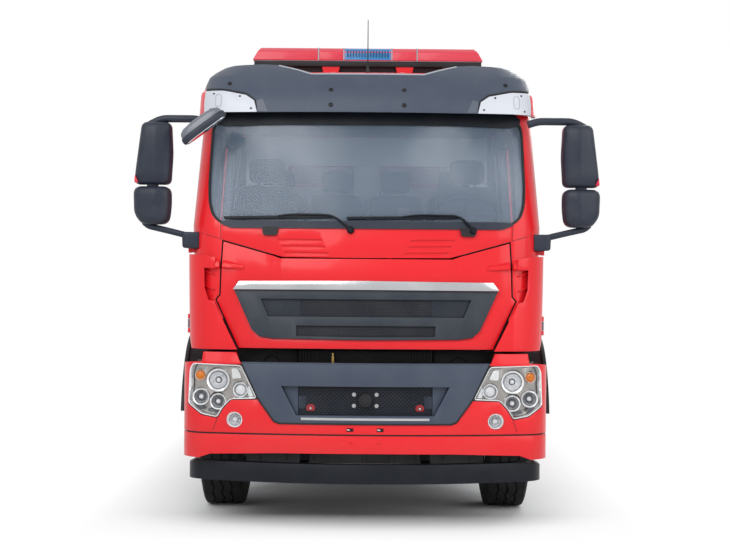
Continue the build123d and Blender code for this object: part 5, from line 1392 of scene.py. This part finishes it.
def body_lamps():
    """Work lamps along the upper rail and lamp clusters at the rear."""
    soften("body_lamps", 0.004, [BLACK])
    for side, tag in SIDES.items():
        with new("work_lamp_lenses_" + tag, FLUTED) as bm:
            for start, end in BAYS:
                for column in range(6):
                    y = 0.5 * (start + end) + (column - 2.5) * 0.039
                    for z in (2.834, 2.866):
                        lathe(bm, (side * 1.264, y, z), (side, 0, 0), WORK_LENS, 14)
        for finish, low, high, kind in REAR_LENSES:
            with new(f"{kind}_lens_{tag}", finish) as bm:
                block(bm, (side * low, 3.970, 0.832), (side * high, 3.986, 0.928), 0.006)


def rear_gear():
    with new("rear_shutter_frame_and_bar", STEEL) as bm:
        for (x0, low), (x1, high) in frame_bars(-0.700, 0.700):
            block(bm, (x0, 3.948, low), (x1, 3.954, high), 0.0015)
        ends = ((-0.60, 3.932), (-0.60, 3.964), (0.60, 3.964), (0.60, 3.932))
        tube(bm, bent([Vector((x, y, BAR_HEIGHT)) for x, y in ends], 0.02), 0.011, 12)
    with new("rear_plate_holder", WHITE) as bm:
        block(bm, (-0.26, 3.929, 0.985), (0.26, 3.938, 1.065), 0.004)
    with new("rear_step_reflectors", RED_LENS) as bm:
        for side in SIDES:
            block(bm, (side * 1.0 - 0.20, 4.1485, 0.535), (side * 1.0 + 0.20, 4.153, 0.565), 0.0015)


MONITOR = (0, -0.450, 3.380)
MONITOR_RINGS = ((0.0435, 0.050, 0.003, 0.023, (0.42, 0.62, 0.79)),
                 (0.0615, 0.0645, 0.004, 0.022, (0.83, 0.87, 0.91)))


def monitor_gear():
    """Rings along the barrel and nozzle, and the bolts of the base."""
    with new("monitor_rings", BLACK, "monitor_barrel") as bm:
        for inner, outer, slope, wide, places in MONITOR_RINGS:
            for along in places:
                ring = [(inner, along), (outer, along + slope), (outer, along + wide - slope),
                        (inner, along + wide)]
                lathe(bm, MONITOR, AHEAD, ring, 32, True)
    with new("monitor_base_bolts", STEEL) as bm:
        for k in range(8):
            angle = 2 * math.pi * k / 8
            place = Vector((0.128 * math.cos(angle), MONITOR[1] + 0.128 * math.sin(angle), 2.960))
            hex_bolt(bm, place, Vector((0, 0, 1)), 0.010)


ARCH_RADIUS = 0.612
ARCH_LIP = [(-0.012, -0.01), (-0.012, 0.004), (0.012, 0.006), (0.012, -0.01)]


def lower_trim():
    """Rubber lips of the rear wheel arches, below the lockers' upper edge."""
    with new("rear_arch_lips", RUBBER) as bm:
        for side in SIDES:
            rim = []
            for step in range(25):
                angle = math.radians(12 + 156 * step / 24)
                rim.append(REAR_AXLE + Vector((side * 1.249, ARCH_RADIUS * math.cos(angle),
                                               ARCH_RADIUS * math.sin(angle))))
            rim = [p for p in rim if p.z < 1.098]
            for run in ([p for p in rim if p.y < 1.95], [p for p in rim if p.y >= 1.95]):
                sweep(bm, run, [Vector((side, 0, 0))] * len(run), ARCH_LIP)


# Studio

PURE_WHITE = (1.0, 1.0, 1.0, 1.0)
SKY_TINT = (0.95, 0.975, 1.0, 1.0)
SKY_STRENGTH = 0.56
LAMPS_AIM = Vector((0, -1, 1.3))
STUDIO_LAMPS = (("key_lamp", (-5.0, -13.0, 9.0), 9.0, 1000.0), ("fill_lamp", (8.0, -10.0, 6.0), 8.0, 450.0),
                ("rear_lamp", (6.0, 11.0, 8.0), 7.0, 900.0))


def studio_floor():
    """White floor that keeps the truck's shadow and is plain white further out."""
    bm = bmesh.new()
    bmesh.ops.create_grid(bm, x_segments=1, y_segments=1, size=60)
    mesh = bpy.data.meshes.new("studio_floor")
    bm.to_mesh(mesh)
    bm.free()
    floor = bpy.data.objects.new("studio_floor", mesh)
    bpy.context.scene.collection.objects.link(floor)
    pale = Finish("studio_floor_paint", (0.90, 0.90, 0.90), 0.9)
    pale.feed("Base Color", pale.mix(pale.noise(0.8), (0.89, 0.89, 0.89), (0.91, 0.91, 0.91)))
    beside, ahead = (pale.node("ShaderNodeMath", {"operation": "ABSOLUTE"}, {0: pale.along(axis)})
                     for axis in "XY")
    far = 1 - (1 - beside.between(1.1, 1.9)) * (1 - ahead.between(3.3, 4.4))
    white = pale.node("ShaderNodeEmission", {}, {"Color": PURE_WHITE})
    painted = Value(pale, pale.surface.outputs[0])
    blend = pale.node("ShaderNodeMixShader", {}, {0: pale.seen() * far, 1: painted, 2: white})
    pale.join(pale.tree.nodes["Material Output"].inputs["Surface"], blend)
    mesh.materials.append(pale.material)


def studio_light():
    """Soft lamps and an even sky that the camera sees as white."""
    world = bpy.data.worlds.new("studio_sky")
    bpy.context.scene.world = world
    world.use_nodes = True
    sky = Nodes(world.node_tree)
    even = sky.tree.nodes["Background"]
    sky.join(even.inputs["Color"], SKY_TINT)
    sky.join(even.inputs["Strength"], SKY_STRENGTH)
    white = sky.node("ShaderNodeBackground", {}, {"Color": PURE_WHITE, "Strength": 1.0})
    blend = sky.node("ShaderNodeMixShader", {}, {0: sky.seen(), 1: Value(sky, even.outputs[0]), 2: white})
    sky.join(sky.tree.nodes["World Output"].inputs["Surface"], blend)
    for name, place, size, power in STUDIO_LAMPS:
        data = bpy.data.lights.new(name, "AREA")
        data.size = size
        data.energy = power
        lamp = bpy.data.objects.new(name, data)
        bpy.context.scene.collection.objects.link(lamp)
        lamp.location = place
        lamp.rotation_euler = (LAMPS_AIM - Vector(place)).to_track_quat("-Z", "Y").to_euler()


def camera():
    data = bpy.data.cameras.new("photo_camera")
    data.lens = CAMERA_LENS
    data.sensor_width = 36.0
    data.clip_end = 200.0
    eye = bpy.data.objects.new("photo_camera", data)
    bpy.context.scene.collection.objects.link(eye)
    eye.location = (CAMERA_SIDE, CAD_BOX[0].y - CAMERA_BACK, CAMERA_HEIGHT)
    eye.rotation_euler = (math.radians(90), math.radians(CAMERA_ROLL), 0)
    bpy.context.scene.camera = eye


# Finishes of the nodes that stay as they are, and rounding of those that only need softer edges

KEPT = {"chassis_frame": BLACK_STEEL, "driveline": CAST, "front_axle": BLACK_STEEL, "rear_axle": BLACK_STEEL,
        "leaf_springs": BLACK_STEEL, "cab_glass": GLASS, "mirror_glasses": MIRROR, "shutters": ALLOY,
        "body_decks": TREAD_PLATE, "knuckle_left": BLACK_STEEL, "knuckle_right": BLACK_STEEL}
for tag in SIDES.values():
    for row in DOOR_ENDS:
        KEPT[f"glass_{row}_{tag}"] = GLASS
for node, finish in KEPT.items():
    NODES[node].data.materials.clear()
    NODES[node].data.materials.append(finish)

SOFTENED = {"front_hatch": (0.0025, RED), "corner_deflectors": (0.005, RED), "cab_floor": (0.005, TRIM_GREY),
            "underrun_bar": (0.008, BAR_STEEL), "front_mudguards": (0.006, BLACK),
            "cab_steps": (0.004, TREAD_PLATE), "frame_side_gear": (0.012, STEEL),
            "body_sides": (0.006, RED), "lower_lockers": (0.005, RED),
            "roof_gear": (0.004, ALLOY), "rear_bumper": (0.006, RED), "rear_couplings": (0.004, STEEL),
            "monitor_turret": (0.004, RED), "monitor_barrel": (0.003, STEEL)}
for node, (width, finish) in SOFTENED.items():
    soften(node, width, [finish])
for node in ("cab_sides", "cab_roof", "cab_rear_wall"):
    soften(node, 0.004, [RED, TRIM_GREY], by_face=lining)
soften("cab_front", 0.0025, [RED, TRIM_GREY, BLACK], by_face=front_lining)

for make in (windscreen_trim, cowl_trim, wipers, front_ridges, corner_slats, hatch_grille, bumper_insert,
             headlamps, fog_lamps, bumper_seams_and_crease_shade, under_bumper_gear, sun_visor, warning_bar, mirrors, wheels,
             doors, interior, shutter_gear, body_lamps, rear_gear, monitor_gear, lower_trim, studio_floor,
             studio_light, camera):
    make()
bpy.context.scene.view_settings.view_transform = "Standard"
